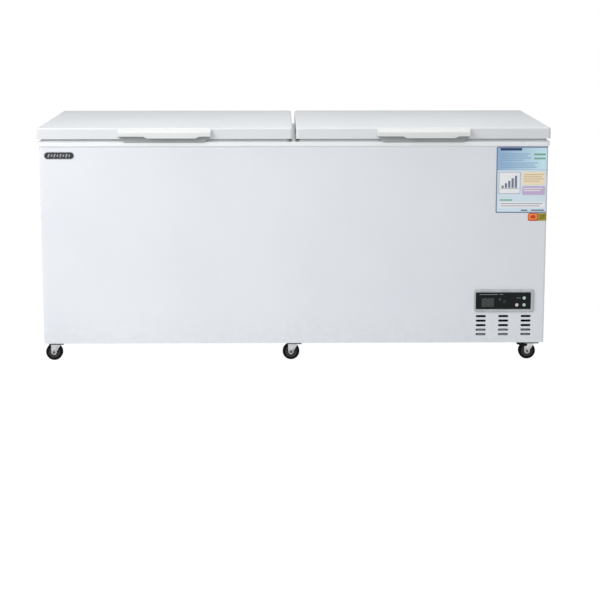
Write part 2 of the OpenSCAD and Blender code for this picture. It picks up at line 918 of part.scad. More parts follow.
module fan_motor() {
    color(zinc)
        difference() {
            union() {
                along_y(bay_mid, motor_y, fan_z, motor_r, motor_l);
                along_y(bay_mid, motor_y - arm_t, fan_z, 9, arm_t + 1);
                along_y(bay_mid, motor_y + motor_l, fan_z, 12, 5);
            }
            along_y(bay_mid, motor_y - arm_t - 1, fan_z, shaft_r + run_gap, 30);
        }
}

// Hub, shaft and cambered blades, each a piece of a curved sheet set at an angle
module fan_blade() {
    hub_r = 20;
    depth = 20;
    y = shroud_y + 7;
    camber_r = 70;
    pitch_angle = 32;
    color([0.3, 0.31, 0.33]) {
        along_y(bay_mid, y, fan_z, hub_r, depth);
        along_y(bay_mid, y + depth - 1, fan_z, shaft_r, motor_y + 18 - y - depth);
        intersection() {
            difference() {
                along_y(bay_mid, y, fan_z, fan_r, depth);
                along_y(bay_mid, y - 1, fan_z, hub_r - 1, depth + 2);
            }
            translate([bay_mid, y + depth / 2, fan_z])
                for (i = [0 : fan_blades - 1])
                    rotate([0, i * 360 / fan_blades, 0])
                        rotate([pitch_angle, 0, 0])
                            rotate([0, 90, 0])
                                linear_extrude(fan_r + 2)
                                    blade_section(camber_r);
        }
    }
}

module blade_section(r) {
    translate([0, -r + 4])
        intersection() {
            difference() {
                circle(r, $fn = 96);
                circle(r - 1.8, $fn = 96);
            }
            translate([-27, 0])
                square([54, r + 1]);
        }
}

// Copper cylinder with tapered ends, lying along the right side
module filter_drier() {
    tip = 14;
    color(copper)
        translate([inner_x - side_pipe, drier_y, tube_z0])
            rotate([-90, 0, 0])
                rotate_extrude()
                    polygon([[0, 0], [pipe_r, 0], [drier_r, tip], [drier_r, drier_l - tip],
                             [pipe_r, drier_l], [0, drier_l]]);
}

module refrigerant_pipes() {
    left_x = bay_x + pipe_r + 2;
    right_x = inner_x - side_pipe;
    rise_y = drier_y + drier_l + 30;
    top_z = tube_z0 + (tube_rows - 1) * tube_pitch;
    bend_radius = 9;
    color(copper) {
        pipe([[bay_mid - stub_reach, compressor_y, stub_z],
              [left_x, compressor_y, stub_z],
              [left_x, condenser_y, stub_z],
              [left_x, condenser_y, top_z],
              [bay_mid - tube_end, condenser_y, top_z]], pipe_r, bend_radius);
        pipe([[bay_mid + tube_end, condenser_y, tube_z0],
              [right_x, condenser_y, tube_z0],
              [right_x, drier_y, tube_z0]], pipe_r, bend_radius);
        pipe([[right_x, drier_y + drier_l, tube_z0],
              [right_x, rise_y, tube_z0],
              [right_x, rise_y, bay_z]], pipe_r, bend_radius);
        pipe([[bay_mid + stub_reach, compressor_y, stub_z],
              [right_x, compressor_y, stub_z],
              [right_x, compressor_y, bay_z]], pipe_r, bend_radius);
    }
}

// Pressed plate with a hooded louvre over each slot
module rear_grille() {
    pitch = (grille_h - 34) / (louvre_count - 1);
    color(white_paint)
        difference() {
            union() {
                translate([bay_mid, back_y + grille_t, grille_z0 + grille_h / 2])
                    rotate([90, 0, 0])
                        linear_extrude(grille_t)
                            round_rect(grille_w, grille_h, 6);
                for (i = [0 : louvre_count - 1])
                    translate([bay_mid - louvre_l / 2, back_y + grille_t - 0.5,
                               grille_z0 + 13 + i * pitch])
                        rotate([90, 0, 90])
                            linear_extrude(louvre_l)
                                intersection() {
                                    circle(louvre_r);
                                    square(louvre_r);
                                }
            }
            for (i = [0 : louvre_count - 1])
                translate([bay_mid - louvre_l / 2 + 1.2, back_y - 1,
                           grille_z0 + 13 + i * pitch - 0.01])
                    rotate([90, 0, 90])
                        linear_extrude(louvre_l - 2.4)
                            union() {
                                square([grille_t + 0.6, louvre_r - 1.2]);
                                translate([grille_t + 0.5, 0])
                                    intersection() {
                                        circle(louvre_r - 1.2);
                                        square(louvre_r);
                                    }
                            }
            for (p = grille_corners())
                along_y(p[0], back_y - 5, p[1], screw_r + 0.1, 10);
        }
}

module grille_screws() {
    color(zinc)
        for (p = grille_corners()) {
            along_y(p[0], back_y + grille_t, p[1], 3.8, 2.2);
            along_y(p[0], back_y - 6, p[1], screw_r, 6 + grille_t + 0.5);
        }
}

// Bushing for the supply cord: flange outside, collar inside
module cord_gland() {
    color(black)
        difference() {
            union() {
                along_y(gland_x, back_y, gland_z, gland_r + 4, 3);
                along_y(gland_x, back_y, gland_z, gland_r - 1, 12);
                along_y(gland_x, back_y - sheet_t - 1, gland_z, gland_r, sheet_t + 2);
                along_y(gland_x, back_y - sheet_t - 5, gland_z, gland_r + 3, 5);
            }
            along_y(gland_x, back_y - sheet_t - 10, gland_z, gland_bore_r, 30);
        }
}

// Frame on the front with the box behind it that holds the board
module control_bezel() {
    post_y = board_y + board_t;
    color(bezel_silver) {
        difference() {
            union() {
                translate([bezel_x, front_y, bezel_z])
                    rotate([90, 0, 0])
                        soft_block(bezel_w, bezel_h, bezel_out, 3, bezel_r);
                translate([window_x, front_y + tub_d, bezel_z])
                    rotate([90, 0, 0])
                        linear_extrude(tub_d + 1)
                            round_rect(tub_w, tub_h, 2);
            }
            translate([window_x, window_back, bezel_z])
                rotate([90, 0, 0])
                    linear_extrude(bezel_out + 10)
                        round_rect(window_w + 2 * seat_gap, window_h + 2 * seat_gap, 2 + seat_gap);
            translate([window_x, front_y + tub_d - tub_wall, bezel_z])
                rotate([90, 0, 0])
                    linear_extrude(tub_d + bezel_out)
                        round_rect(tub_w - 2 * tub_wall, tub_h - 2 * tub_wall, 1);
        }
        for (x = [-1, 1], z = [-1, 1])
            along_y(window_x + x * (tub_w / 2 - 10), post_y, bezel_z + z * (tub_h / 2 - 10),
                    3, front_y + tub_d - tub_wall + 0.5 - post_y);
    }
}

function button_spots() = [[window_x + button_x, button_rows[0]],
    [window_x + button_x, button_rows[1]],
    [window_x + button_x - button_pitch, button_rows[1]]];

module control_window() {
    color(black)
        difference() {
            translate([window_x, window_back, bezel_z])
                rotate([90, 0, 0])
                    linear_extrude(window_t)
                        round_rect(window_w, window_h, 2);
            for (p = button_spots())
                along_y(p[0], window_face - 1, p[1], button_r + 2 * run_gap, window_t + 2);
        }
}

// Board with one small switch behind each button
module control_board() {
    color([0.1, 0.35, 0.2]) {
        span([window_x - tub_w / 2 + tub_wall + 1, board_y, bezel_z - tub_h / 2 + tub_wall + 1],
             [window_x + tub_w / 2 - tub_wall - 1, board_y + board_t,
              bezel_z + tub_h / 2 - tub_wall - 1]);
        for (p = button_spots())
            translate([p[0] - 3, board_y - switch_h, p[1] - 3])
                cube([6, switch_h + 0.5, 6]);
    }
}

// Two-digit display between the board and the window
module digit_display() {
    x = window_x - display_x;
    z = bezel_z - display_drop;
    digit_w = 15;
    digit_h = 20;
    digit_pitch = 21;
    color([0.2, 0.05, 0.05])
        difference() {
            span([x - display_w / 2, window_back + turn_gap, z - display_h / 2],
                 [x + display_w / 2, board_y, z + display_h / 2]);
            for (i = [-1, 1])
                span([x + i * digit_pitch / 2 - digit_w / 2, window_back, z - digit_h / 2],
                     [x + i * digit_pitch / 2 + digit_w / 2, window_back + 0.8, z + digit_h / 2]);
        }
}

// Cap, collar behind the window and stem in front of the switch
module button(p) {
    stem_end = board_y - switch_h - button_travel - 0.2;
    color(white_plastic) {
        along_y(p[0], window_face - button_proud, p[1], button_r, button_proud + window_t + 0.5);
        along_y(p[0], window_back + 2 * run_gap, p[1], button_r + 1.5, 1.2);
        along_y(p[0], window_back + 0.2, p[1], 2.5, stem_end - window_back - 0.2);
    }
}

module button_up() {
    button(button_spots()[0]);
}

module button_down() {
    button(button_spots()[1]);
}

module button_set() {
    button(button_spots()[2]);
}

// Places every child at each of the four hinges
module each_hinge() {
    for (side = [-1, 1], x = hinge_offsets)
        translate([side * lid_x + x, 0, 0])
            children();
}

// Side view of an ear: a stem that ends round about the hinge axis
module ear_shape() {
    translate([axis_y - ear_r, housing_top - 2])
        square([2 * ear_r, axis_z - housing_top + 2]);
    translate([axis_y, axis_z])
        circle(ear_r);
}

// Side view of the spring housing, with round outer corners
module housing_side() {
    r = 6;
    low = housing_top - housing_h;
    translate([back_y, low])
        square([housing_d - r, housing_h]);
    translate([back_y, low + r])
        square([housing_d, housing_h - 2 * r]);
    for (z = [low + r, housing_top - r])
        translate([back_y + housing_d - r, z])
            circle(r);
}

// Spring housing on the cabinet's back, with its screwed flange and two ears
module hinge_brackets() {
    color(zinc)
        each_hinge()
            difference() {
                union() {
                    translate([-hinge_w / 2, 0, 0])
                        rotate([90, 0, 90])
                            linear_extrude(hinge_w)
                                housing_side();
                    span([-housing_flange_w / 2, back_y, housing_top - housing_h],
                         [housing_flange_w / 2, back_y + housing_flange_t, housing_top - 6]);
                    for (x = [-hinge_w / 2, hinge_w / 2 - ear_t])
                        translate([x, 0, 0])
                            rotate([90, 0, 90])
                                linear_extrude(ear_t)
                                    ear_shape();
                }
                along_x(-hinge_w, axis_y, axis_z, pin_r + run_gap, 2 * hinge_w);
            }
}

module hinge_pins() {
    color([0.8, 0.8, 0.82])
        each_hinge() {
            along_x(-hinge_w / 2 - 2, axis_y, axis_z, pin_r, hinge_w + 4);
            along_x(-hinge_w / 2 - 2 - seat_gap, axis_y, axis_z, pin_r + 1.5, 2);
            along_x(hinge_w / 2 + seat_gap, axis_y, axis_z, pin_r + 1.5, 2);
        }
}

// Strap on the lid's back face, rolled round the pin
module hinge_leaves() {
    w = hinge_w - 2 * ear_t - 1;
    color(zinc)
        for (x = hinge_offsets)
            translate([x - w / 2, 0, 0])
                difference() {
                    rotate([90, 0, 90])
                        linear_extrude(w) {
                            translate([lid_back, lid_z + 1])
                                square([leaf_t, lid_h - lid_edge_r - 1]);
                            translate([lid_back, axis_z])
                                square([axis_back, knuckle_r]);
                            translate([axis_y, axis_z])
                                circle(knuckle_r);
                        }
                    along_x(-1, axis_y, axis_z, pin_r + run_gap, w + 2);
                }
}

module lid_skin() {
    inner = lid_w - 2 * sheet_t;
    color(white_paint)
        translate([0, mid_y, lid_z]) {
            difference() {
                soft_block(lid_w, lid_d, lid_h, lid_edge_r, lid_corner_r);
                translate([0, 0, -1])
                    soft_block(inner, lid_d - 2 * sheet_t, lid_h + 1 - sheet_t,
                               lid_edge_r - sheet_t, lid_corner_r - sheet_t);
            }
            ring(lid_w, lid_d, lid_corner_r, sheet_t / 2, lid_fold, 0, sheet_t);
        }
}

// Middle of the liner's deep part, as seen from the lid's middle
function plug_mid() = (plug_x0 + plug_x1) / 2 - lid_x;

module plug_block(inset, z, over) {
    translate([plug_mid(), mid_y, z])
        linear_extrude(lid_z + lid_liner_t - z + over)
            round_rect(plug_x1 - plug_x0 - 2 * inset, plug_d - 2 * inset, plug_r - inset);
}

// Middle of the gasket's width, from the lid's edge
function dart_mid() = gasket_inset + gasket_w / 2;

module dart_channel() {
    translate([0, mid_y, 0])
        ring(lid_w, lid_d, lid_corner_r, dart_mid() - dart_w / 2 - dart_gap - plug_wall,
             dart_mid() + dart_w / 2 + dart_gap + plug_wall, lid_z, dart_h + dart_gap + plug_wall);
}

module lid_liner() {
    color(white_plastic)
        difference() {
            union() {
                translate([0, mid_y, 0]) {
                    ring(lid_w, lid_d, lid_corner_r, sheet_t + seat_gap, 40, lid_z + sheet_t,
                         lid_liner_t - sheet_t);
                    translate([0, 0, lid_z])
                        linear_extrude(lid_liner_t)
                            round_rect(lid_w - 2 * (lid_fold + seat_gap),
                                       lid_d - 2 * (lid_fold + seat_gap), 7);
                }
                dart_channel();
                plug_block(0, plug_z, 0);
            }
            plug_block(plug_wall, plug_z + plug_wall, 1);
            translate([0, mid_y, 0])
                ring(lid_w, lid_d, lid_corner_r, dart_mid() - dart_w / 2 - dart_gap,
                     dart_mid() + dart_w / 2 + dart_gap, lid_z - 1, dart_h + 1 + dart_gap);
        }
}

module lid_foam() {
    color(foam_yellow)
        difference() {
            union() {
                translate([0, mid_y, lid_z + lid_liner_t])
                    soft_block(lid_w - 2 * sheet_t, lid_d - 2 * sheet_t,
                               lid_h - sheet_t - lid_liner_t, lid_edge_r - sheet_t,
                               lid_corner_r - sheet_t);
                plug_block(plug_wall, plug_z + plug_wall, 0);
            }
            dart_channel();
        }
}

// Foot with the magnet, narrow bellows, carrier and dart
module lid_gasket() {
    carrier_h = 2;
    color(gasket_grey)
        translate([0, mid_y, 0]) {
            ring(lid_w, lid_d, lid_corner_r, gasket_inset, gasket_inset + gasket_w,
                 rim_top, gasket_foot_h);
            ring(lid_w, lid_d, lid_corner_r, dart_mid() - gasket_w / 4, dart_mid() + gasket_w / 4,
                 rim_top + 1, gasket_h - 2);
            ring(lid_w, lid_d, lid_corner_r, dart_mid() - gasket_w * 0.375, dart_mid() + gasket_w * 0.375,
                 lid_z - carrier_h, carrier_h);
            ring(lid_w, lid_d, lid_corner_r, dart_mid() - dart_w / 2, dart_mid() + dart_w / 2,
                 lid_z - 1, dart_h + 1);
        }
}

// Front view of a handle: upright ends and slanted lower corners
module handle_front() {
    end_x = handle_l / 2;
    low_x = end_x - handle_taper;
    shoulder = handle_lip + handle_notch - 2;
    polygon([[-end_x, handle_h], [-end_x, shoulder], [-low_x, -handle_skirt],
             [low_x, -handle_skirt], [end_x, shoulder], [end_x, handle_h]]);
}

// Side view of a handle, drawn in by inset: upright face, round nose, top that rises to the lid
module handle_side(inset, back) {
    slope = handle_fall / handle_depth;
    lean = sqrt(1 + slope * slope);
    r = handle_nose_r - inset;
    x = -handle_depth + handle_nose_r;
    z = handle_h + slope * x - handle_nose_r * lean;
    top = handle_h - inset * lean;
    intersection() {
        union() {
            polygon([[0, -handle_skirt], [x - r, -handle_skirt], [x - r, z], [x, z],
                     [x - r * slope / lean, z + r / lean], [0, top]]);
            translate([x, z])
                circle(r);
        }
        translate([-handle_depth, -handle_skirt - 1])
            square([handle_depth - back, handle_skirt + handle_h + 2]);
    }
}

// Front view of what lies below the lip, which is higher near both ends
module below_lip() {
    end_x = handle_l / 2;
    low = handle_lip;
    high = handle_lip + handle_notch;
    ramp = 2 * handle_notch;
    polygon([[-end_x - 1, -handle_skirt - 1], [-end_x - 1, high], [-end_x + notch_left_l, high],
             [-end_x + notch_left_l + ramp, low], [end_x - notch_right_l - ramp, low],
             [end_x - notch_right_l, high], [end_x + 1, high], [end_x + 1, -handle_skirt - 1]]);
}

// Grip that fingers reach from below, with a plate against the lid
module lid_handle() {
    color(white_plastic)
        translate([0, lid_front, lid_z])
            difference() {
                intersection() {
                    rotate([90, 0, 90])
                        linear_extrude(handle_l + 2, center = true)
                            handle_side(0, 0);
                    rotate([90, 0, 0])
                        linear_extrude(3 * handle_depth, center = true)
                            handle_front();
                }
                rotate([90, 0, 90])
                    linear_extrude(handle_l - 2 * handle_wall, center = true)
                        handle_side(handle_wall, handle_wall);
                translate([0, -handle_wall, 0])
                    rotate([90, 0, 0])
                        linear_extrude(handle_depth)
                            below_lip();
            }
}

module on_right() {
    translate([lid_x, 0, 0])
        children();
}

module on_left() {
    mirror([1, 0, 0])
        on_right()
            children();
}

module left_lid_skin() {
    on_left()
        lid_skin();
}

module left_lid_liner() {
    on_left()
        lid_liner();
}

module left_lid_foam() {
    on_left()
        lid_foam();
}

module left_lid_gasket() {
    on_left()
        lid_gasket();
}

module left_lid_handle() {
    translate([-lid_x, 0, 0])
        lid_handle();
}

module left_hinge_leaves() {
    on_left()
        hinge_leaves();
}

module right_lid_skin() {
    on_right()
        lid_skin();
}

module right_lid_liner() {
    on_right()
        lid_liner();
}

module right_lid_foam() {
    on_right()
        lid_foam();
}

module right_lid_gasket() {
    on_right()
        lid_gasket();
}

module right_lid_handle() {
    on_right()
        lid_handle();
}

module right_hinge_leaves() {
    on_right()
        hinge_leaves();
}

// Places every child at each swivel axis
module each_caster() {
    for (x = caster_xs, y = caster_ys)
        translate([x, y, 0])
            children();
}

module each_bolt() {
    each_caster()
        for (x = [-1, 1], y = [-1, 1])
            translate([x * (plate_w / 2 - bolt_inset[0]), y * (plate_d / 2 - bolt_inset[1]), 0])
                children();
}

module caster_holes(z, h, r) {
    each_bolt()
        translate([0, 0, z])
            cylinder(r = r, h = h, $fn = 24);
}

// Top plates with their races and king pins
module caster_plates() {
    color(zinc)
        difference() {
            each_caster() {
                translate([0, 0, plate_z])
                    linear_extrude(plate_t)
                        round_rect(plate_w, plate_d, 2);
                for (y = [-1, 1])
                    translate([0, y * (plate_d - plate_t) / 2, plate_z + 1 - plate_edge_h / 2])
                        cube([plate_w - 4, plate_t, plate_edge_h + 2], center = true);
                translate([0, 0, plate_z - race_h])
                    cylinder(r = race_r, h = race_h + 1);
                translate([0, 0, crown_z - 1.8])
                    cylinder(r = king_r, h = plate_z - crown_z + 2);
                translate([0, 0, crown_z - 1.8])
                    cylinder(r = king_r + 3, h = 1.7);
            }
            caster_holes(plate_z - 1, plate_t + 2, bolt_r + 0.2);
        }
}

module caster_bolts() {
    color([0.8, 0.8, 0.82])
        each_bolt() {
            translate([0, 0, plate_z - 2.4])
                cylinder(r = 4.8, h = 2.4, $fn = 6);
            translate([0, 0, plate_z - 1])
                cylinder(r = bolt_r, h = 1 + plate_t + bolt_up, $fn = 24);
        }
}

// Side view of a leg: broad under the crown, narrow and round at the axle
module leg_shape() {
    foot_r = 10;
    polygon([[-crown_l / 2, crown_z + 1], [crown_l * 0.36, crown_z + 1],
             [-trail + foot_r * 0.94, axle_z + foot_r * 0.34],
             [-trail, axle_z], [-trail - foot_r, axle_z]]);
    translate([-trail, axle_z])
        circle(foot_r);
}

// Pressed crown, two legs and the riveted axle
module fork() {
    difference() {
        union() {
            translate([0, 0, crown_z])
                linear_extrude(fork_t)
                    round_rect(crown_l, fork_w, 5);
            for (y = [-1, 1])
                translate([0, y * (fork_w - fork_t) / 2, 0])
                    rotate([90, 0, 0])
                        linear_extrude(fork_t, center = true)
                            leg_shape();
        }
        translate([0, 0, crown_z - 1])
            cylinder(r = king_r + run_gap, h = fork_t + 2);
    }
    along_y(-trail, -fork_w / 2 - 2, axle_z, axle_r, fork_w + 4);
    for (y = [-1, 1])
        along_y(-trail, y * (fork_w / 2 + 0.75) - 1.25, axle_z, axle_r + 2.5, 2.5);
}

// Tyre, web and hub as one revolved piece
module wheel() {
    r = wheel_d / 2;
    w = wheel_w / 2;
    soft = 3;
    hub_wall = 4.5;
    tyre_t = 10;
    translate([-trail, 0, axle_z])
        rotate([90, 0, 0])
            rotate_extrude($fn = 64) {
                translate([axle_r + 2 * run_gap, -w])
                    square([hub_wall, 2 * w]);
                translate([axle_r + 2, -w / 2])
                    square([r - axle_r - 4, w]);
                translate([r - tyre_t, -w + soft])
                    square([tyre_t, 2 * w - 2 * soft]);
                translate([r - tyre_t, -w + 1])
                    square([tyre_t - soft, 2 * w - 2]);
                for (y = [-1, 1])
                    translate([r - soft, y * (w - soft)])
                        circle(soft);
            }
}

// Pedal with a ribbed tread across the wheel's shoulder and a cheek on each side
module brake_pedal() {
    cheek_y = fork_w / 2 + turn_gap;
    tread_y = cheek_y - seat_gap;
    color(black)
        translate([caster_xs[caster_columns - 1], caster_ys[0], 0]) {
            difference() {
                for (y = [-1, 1])
                    translate([0, y * (cheek_y + cheek_t / 2), 0])
                        rotate([90, 0, 0])
                            linear_extrude(cheek_t, center = true)
                                pedal_side();
                along_y(-trail - brake_x, -fork_w, brake_z, stub_r + run_gap, 2 * fork_w);
            }
            translate([-pedal_end, -tread_y, brake_z + 1])
                cube([tread_l, 2 * tread_y, tread_t]);
            for (i = [0 : 2])
                along_y(-pedal_end + 3 + 5 * i, -tread_y, brake_z + 1 + tread_t, 1.2, 2 * tread_y);
        }
}

module pedal_side() {
    translate([-trail - brake_x, brake_z])
        circle(6);
    polygon([[-trail - brake_x, brake_z - 6], [-trail - brake_x, brake_z + 6],
             [-pedal_end + 2, brake_z + 1 + tread_t], [-pedal_end, brake_z + 1],
             [-pedal_end + tread_l, brake_z - 4]]);
}

module brake_stubs() {
    for (y = [-1, 1])
        along_y(-trail - brake_x, y * (fork_w / 2 + 1.5) - 2, brake_z, stub_r, 4);
}

module place_fork(column, row) {
    color(fork_zinc)
        translate([caster_xs[column], caster_ys[row], 0])
            fork();
}

module place_wheel(column, row) {
    color(black)
        translate([caster_xs[column], caster_ys[row], 0])
            wheel();
}

module fork_front_left() {
    place_fork(0, 0);
}

module fork_front_middle() {
    place_fork(1, 0);
}

module fork_front_right() {
    place_fork(caster_columns - 1, 0);
    color(fork_zinc)
        translate([caster_xs[caster_columns - 1], caster_ys[0], 0])
            brake_stubs();
}

module fork_rear_left() {
    place_fork(0, 1);
}

module fork_rear_middle() {
    place_fork(1, 1);
}

module fork_rear_right() {
    place_fork(caster_columns - 1, 1);
}

module wheel_front_left() {
    place_wheel(0, 0);
}

module wheel_front_middle() {
    place_wheel(1, 0);
}

module wheel_front_right() {
    place_wheel(caster_columns - 1, 0);
}

module wheel_rear_left() {
    place_wheel(0, 1);
}

module wheel_rear_middle() {
    place_wheel(1, 1);
}

module wheel_rear_right() {
    place_wheel(caster_columns - 1, 1);
}

cabinet_wrap();
back_panel();
base_pan();
inner_liner();
insulation_foam();
top_rim();
centre_mullion();
evaporator_coil();
drain_tube();
drain_plug();
compressor_tray();
compressor_shell();
compressor_grommets();
terminal_cover();
condenser_fins();
condenser_tubes();
fan_shroud();
fan_motor();
fan_blade();
filter_drier();
refrigerant_pipes();
rear_grille();
grille_screws();
cord_gland();
control_bezel();
control_window();
control_board();
digit_display();
button_up();
button_down();
button_set();
hinge_brackets();
hinge_pins();
left_lid_skin();
left_lid_liner();
left_lid_foam();
left_lid_gasket();
left_lid_handle();
left_hinge_leaves();
right_lid_skin();
right_lid_liner();
right_lid_foam();
right_lid_gasket();
right_lid_handle();
right_hinge_leaves();
caster_plates();
caster_bolts();
fork_front_left();
fork_front_middle();
fork_front_right();
fork_rear_left();
fork_rear_middle();
fork_rear_right();
wheel_front_left();
wheel_front_middle();
wheel_front_right();
wheel_rear_left();
wheel_rear_middle();
wheel_rear_right();
brake_pedal();
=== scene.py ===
import math
import bmesh
import bpy
import numpy as np
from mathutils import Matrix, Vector


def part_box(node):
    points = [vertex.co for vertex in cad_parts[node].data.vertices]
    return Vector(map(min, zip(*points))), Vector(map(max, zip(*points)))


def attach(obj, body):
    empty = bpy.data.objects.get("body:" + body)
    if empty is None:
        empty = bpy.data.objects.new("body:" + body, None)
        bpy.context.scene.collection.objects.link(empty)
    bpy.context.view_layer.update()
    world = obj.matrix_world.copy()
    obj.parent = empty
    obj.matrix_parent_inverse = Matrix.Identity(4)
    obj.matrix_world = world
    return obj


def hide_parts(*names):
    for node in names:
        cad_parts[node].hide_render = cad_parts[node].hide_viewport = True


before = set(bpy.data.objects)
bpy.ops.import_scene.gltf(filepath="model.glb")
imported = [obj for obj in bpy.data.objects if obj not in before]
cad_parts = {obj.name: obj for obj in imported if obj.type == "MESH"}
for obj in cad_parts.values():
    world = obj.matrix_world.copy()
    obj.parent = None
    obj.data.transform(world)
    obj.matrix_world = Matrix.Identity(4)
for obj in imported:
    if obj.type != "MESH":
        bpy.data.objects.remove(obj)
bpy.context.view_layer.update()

# Twin-lid chest freezer: finishes for every part of the frame, and the fine pieces that go on it
scene = bpy.context.scene
mm = 0.001
xAxis, yAxis, zAxis = np.eye(3)
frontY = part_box("cabinet_wrap")[0].y
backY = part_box("back_panel")[1].y
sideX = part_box("cabinet_wrap")[1].x
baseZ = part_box("cabinet_wrap")[0].z
print("frame loaded:", len(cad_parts), "nodes")


def middleOf(name):
    # the middle of a node's box: half the sum of its two corners
    low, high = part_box(name)
    return np.array((low + high) / 2)


def shade(red, green, blue):
    # screen values, 0 to 255, made linear: c / 12.92 if dark, else ((c + 0.055) / 1.055) to the power 2.4
    c = np.array([red, green, blue]) / 255
    return (*np.where(c <= 0.04045, c / 12.92, ((c + 0.055) / 1.055) ** 2.4), 1.0)


def addNode(tree, kind, inputs=None, **settings):
    # a shader node: an input is linked where its value is a socket, and set where it is a constant
    node = tree.nodes.new(kind)
    for key, value in settings.items():
        setattr(node, key, value)
    for key, value in (inputs or {}).items():
        if isinstance(value, bpy.types.NodeSocket):
            tree.links.new(value, node.inputs[key])
        else:
            node.inputs[key].default_value = value
    return node


def noise(tree, place, scale, detail, roughness=0.5):
    # clouds whose size falls with scale, with as many finer steps as detail says
    inputs = {"Vector": place, "Scale": scale, "Detail": detail, "Roughness": roughness}
    return addNode(tree, "ShaderNodeTexNoise", inputs).outputs["Fac"]


def remap(tree, value, start, end, low=0.0, high=1.0, curve="LINEAR"):
    # what lies between start and end is drawn out to lie between low and high
    inputs = {"Value": value, "From Min": start, "From Max": end, "To Min": low, "To Max": high}
    return addNode(tree, "ShaderNodeMapRange", inputs, interpolation_type=curve).outputs["Result"]


def combine(tree, operation, first, second, clamp=False):
    # two numbers put together by one operation, held between 0 and 1 where asked
    node = addNode(tree, "ShaderNodeMath", {0: first, 1: second}, operation=operation, use_clamp=clamp)
    return node.outputs[0]


def newGroup(name, results, **inputs):
    # a node group that takes a place and named numbers or directions, and gives out named numbers
    tree = bpy.data.node_groups.new(name, "ShaderNodeTree")
    tree.interface.new_socket(name="Vector", in_out="INPUT", socket_type="NodeSocketVector")
    for label, value in inputs.items():
        kind = "NodeSocketVector" if isinstance(value, tuple) else "NodeSocketFloat"
        tree.interface.new_socket(name=label, in_out="INPUT", socket_type=kind).default_value = value
    for label in results:
        tree.interface.new_socket(name=label, in_out="OUTPUT", socket_type="NodeSocketFloat")
    return tree, tree.nodes.new("NodeGroupInput").outputs, tree.nodes.new("NodeGroupOutput").inputs


def makeOrangePeel():
    # three sizes of noise: the ripple of sprayed paint, slow clouds in its colour, and the specks of a print
    tree, given, made = newGroup("orangePeel", ("Height", "Cloud", "Speck"), Ripple=420.0, Cloud=2.2)
    cloud = noise(tree, given["Vector"], given["Cloud"], 3.0)
    tree.links.new(noise(tree, given["Vector"], given["Ripple"], 1.5), made["Height"])
    tree.links.new(remap(tree, cloud, 0.3, 0.7), made["Cloud"])
    tree.links.new(noise(tree, given["Vector"], 1400.0, 2.0), made["Speck"])
    return tree


def makeSettledDustAndShade():
    # mask = height share, 1 at the floor and 0 at the top, * noise that breaks it up * amount; it lays dust,
    # and on the forks painted shade
    tree, given, made = newGroup("settledDustAndShade", ("Mask",), Top=0.25, Amount=0.5, Scale=35.0)
    place = addNode(tree, "ShaderNodeSeparateXYZ", {0: given["Vector"]})
    low = remap(tree, place.outputs["Z"], 0.0, given["Top"], 1.0, 0.0)
    blotch = remap(tree, noise(tree, given["Vector"], given["Scale"], 5.0, 0.65), 0.35, 0.75)
    both = combine(tree, "MULTIPLY", low, blotch)
    tree.links.new(combine(tree, "MULTIPLY", both, given["Amount"], clamp=True), made["Mask"])
    return tree


def makeMouldGrain():
    # fine leather-like cells of moulded plastic, and noise for slow changes of gloss
    tree, given, made = newGroup("mouldGrain", ("Height", "Gloss"), Scale=900.0)
    cells = addNode(tree, "ShaderNodeTexVoronoi", {"Vector": given["Vector"], "Scale": given["Scale"]},
                    feature="SMOOTH_F1")
    tree.links.new(cells.outputs["Distance"], made["Height"])
    tree.links.new(noise(tree, given["Vector"], 14.0, 4.0), made["Gloss"])
    return tree


def makeRolledGrain():
    # noise on stretched coordinates for the streaks of rolled metal, and noise for blotches of tarnish
    tree, given, made = newGroup("rolledGrain", ("Height", "Blotch"), Stretch=(6.0, 260.0, 260.0),
                                 Blotch=22.0)
    along = addNode(tree, "ShaderNodeVectorMath", {0: given["Vector"], 1: given["Stretch"]},
                    operation="MULTIPLY")
    blotch = noise(tree, given["Vector"], given["Blotch"], 5.0, 0.6)
    tree.links.new(noise(tree, along.outputs[0], 5.0, 3.0), made["Height"])
    tree.links.new(remap(tree, blotch, 0.35, 0.68), made["Blotch"])
    return tree


def makeStucco():
    # pads of embossed sheet: the distance to the nearest cell edge, smoothed; the sunk line, used for painted
    # shade in the creases, is 1 - pad
    tree, given, made = newGroup("stucco", ("Height", "Line"), Scale=170.0)
    cells = addNode(tree, "ShaderNodeTexVoronoi", {"Vector": given["Vector"], "Scale": given["Scale"]},
                    feature="DISTANCE_TO_EDGE")
    pad = remap(tree, cells.outputs["Distance"], 0.02, 0.22, curve="SMOOTHSTEP")
    tree.links.new(pad, made["Height"])
    tree.links.new(combine(tree, "SUBTRACT", 1.0, pad), made["Line"])
    return tree


groups = {"orangePeel": makeOrangePeel(), "settledDustAndShade": makeSettledDustAndShade(), "mouldGrain": makeMouldGrain(),
          "rolledGrain": makeRolledGrain(), "stucco": makeStucco()}


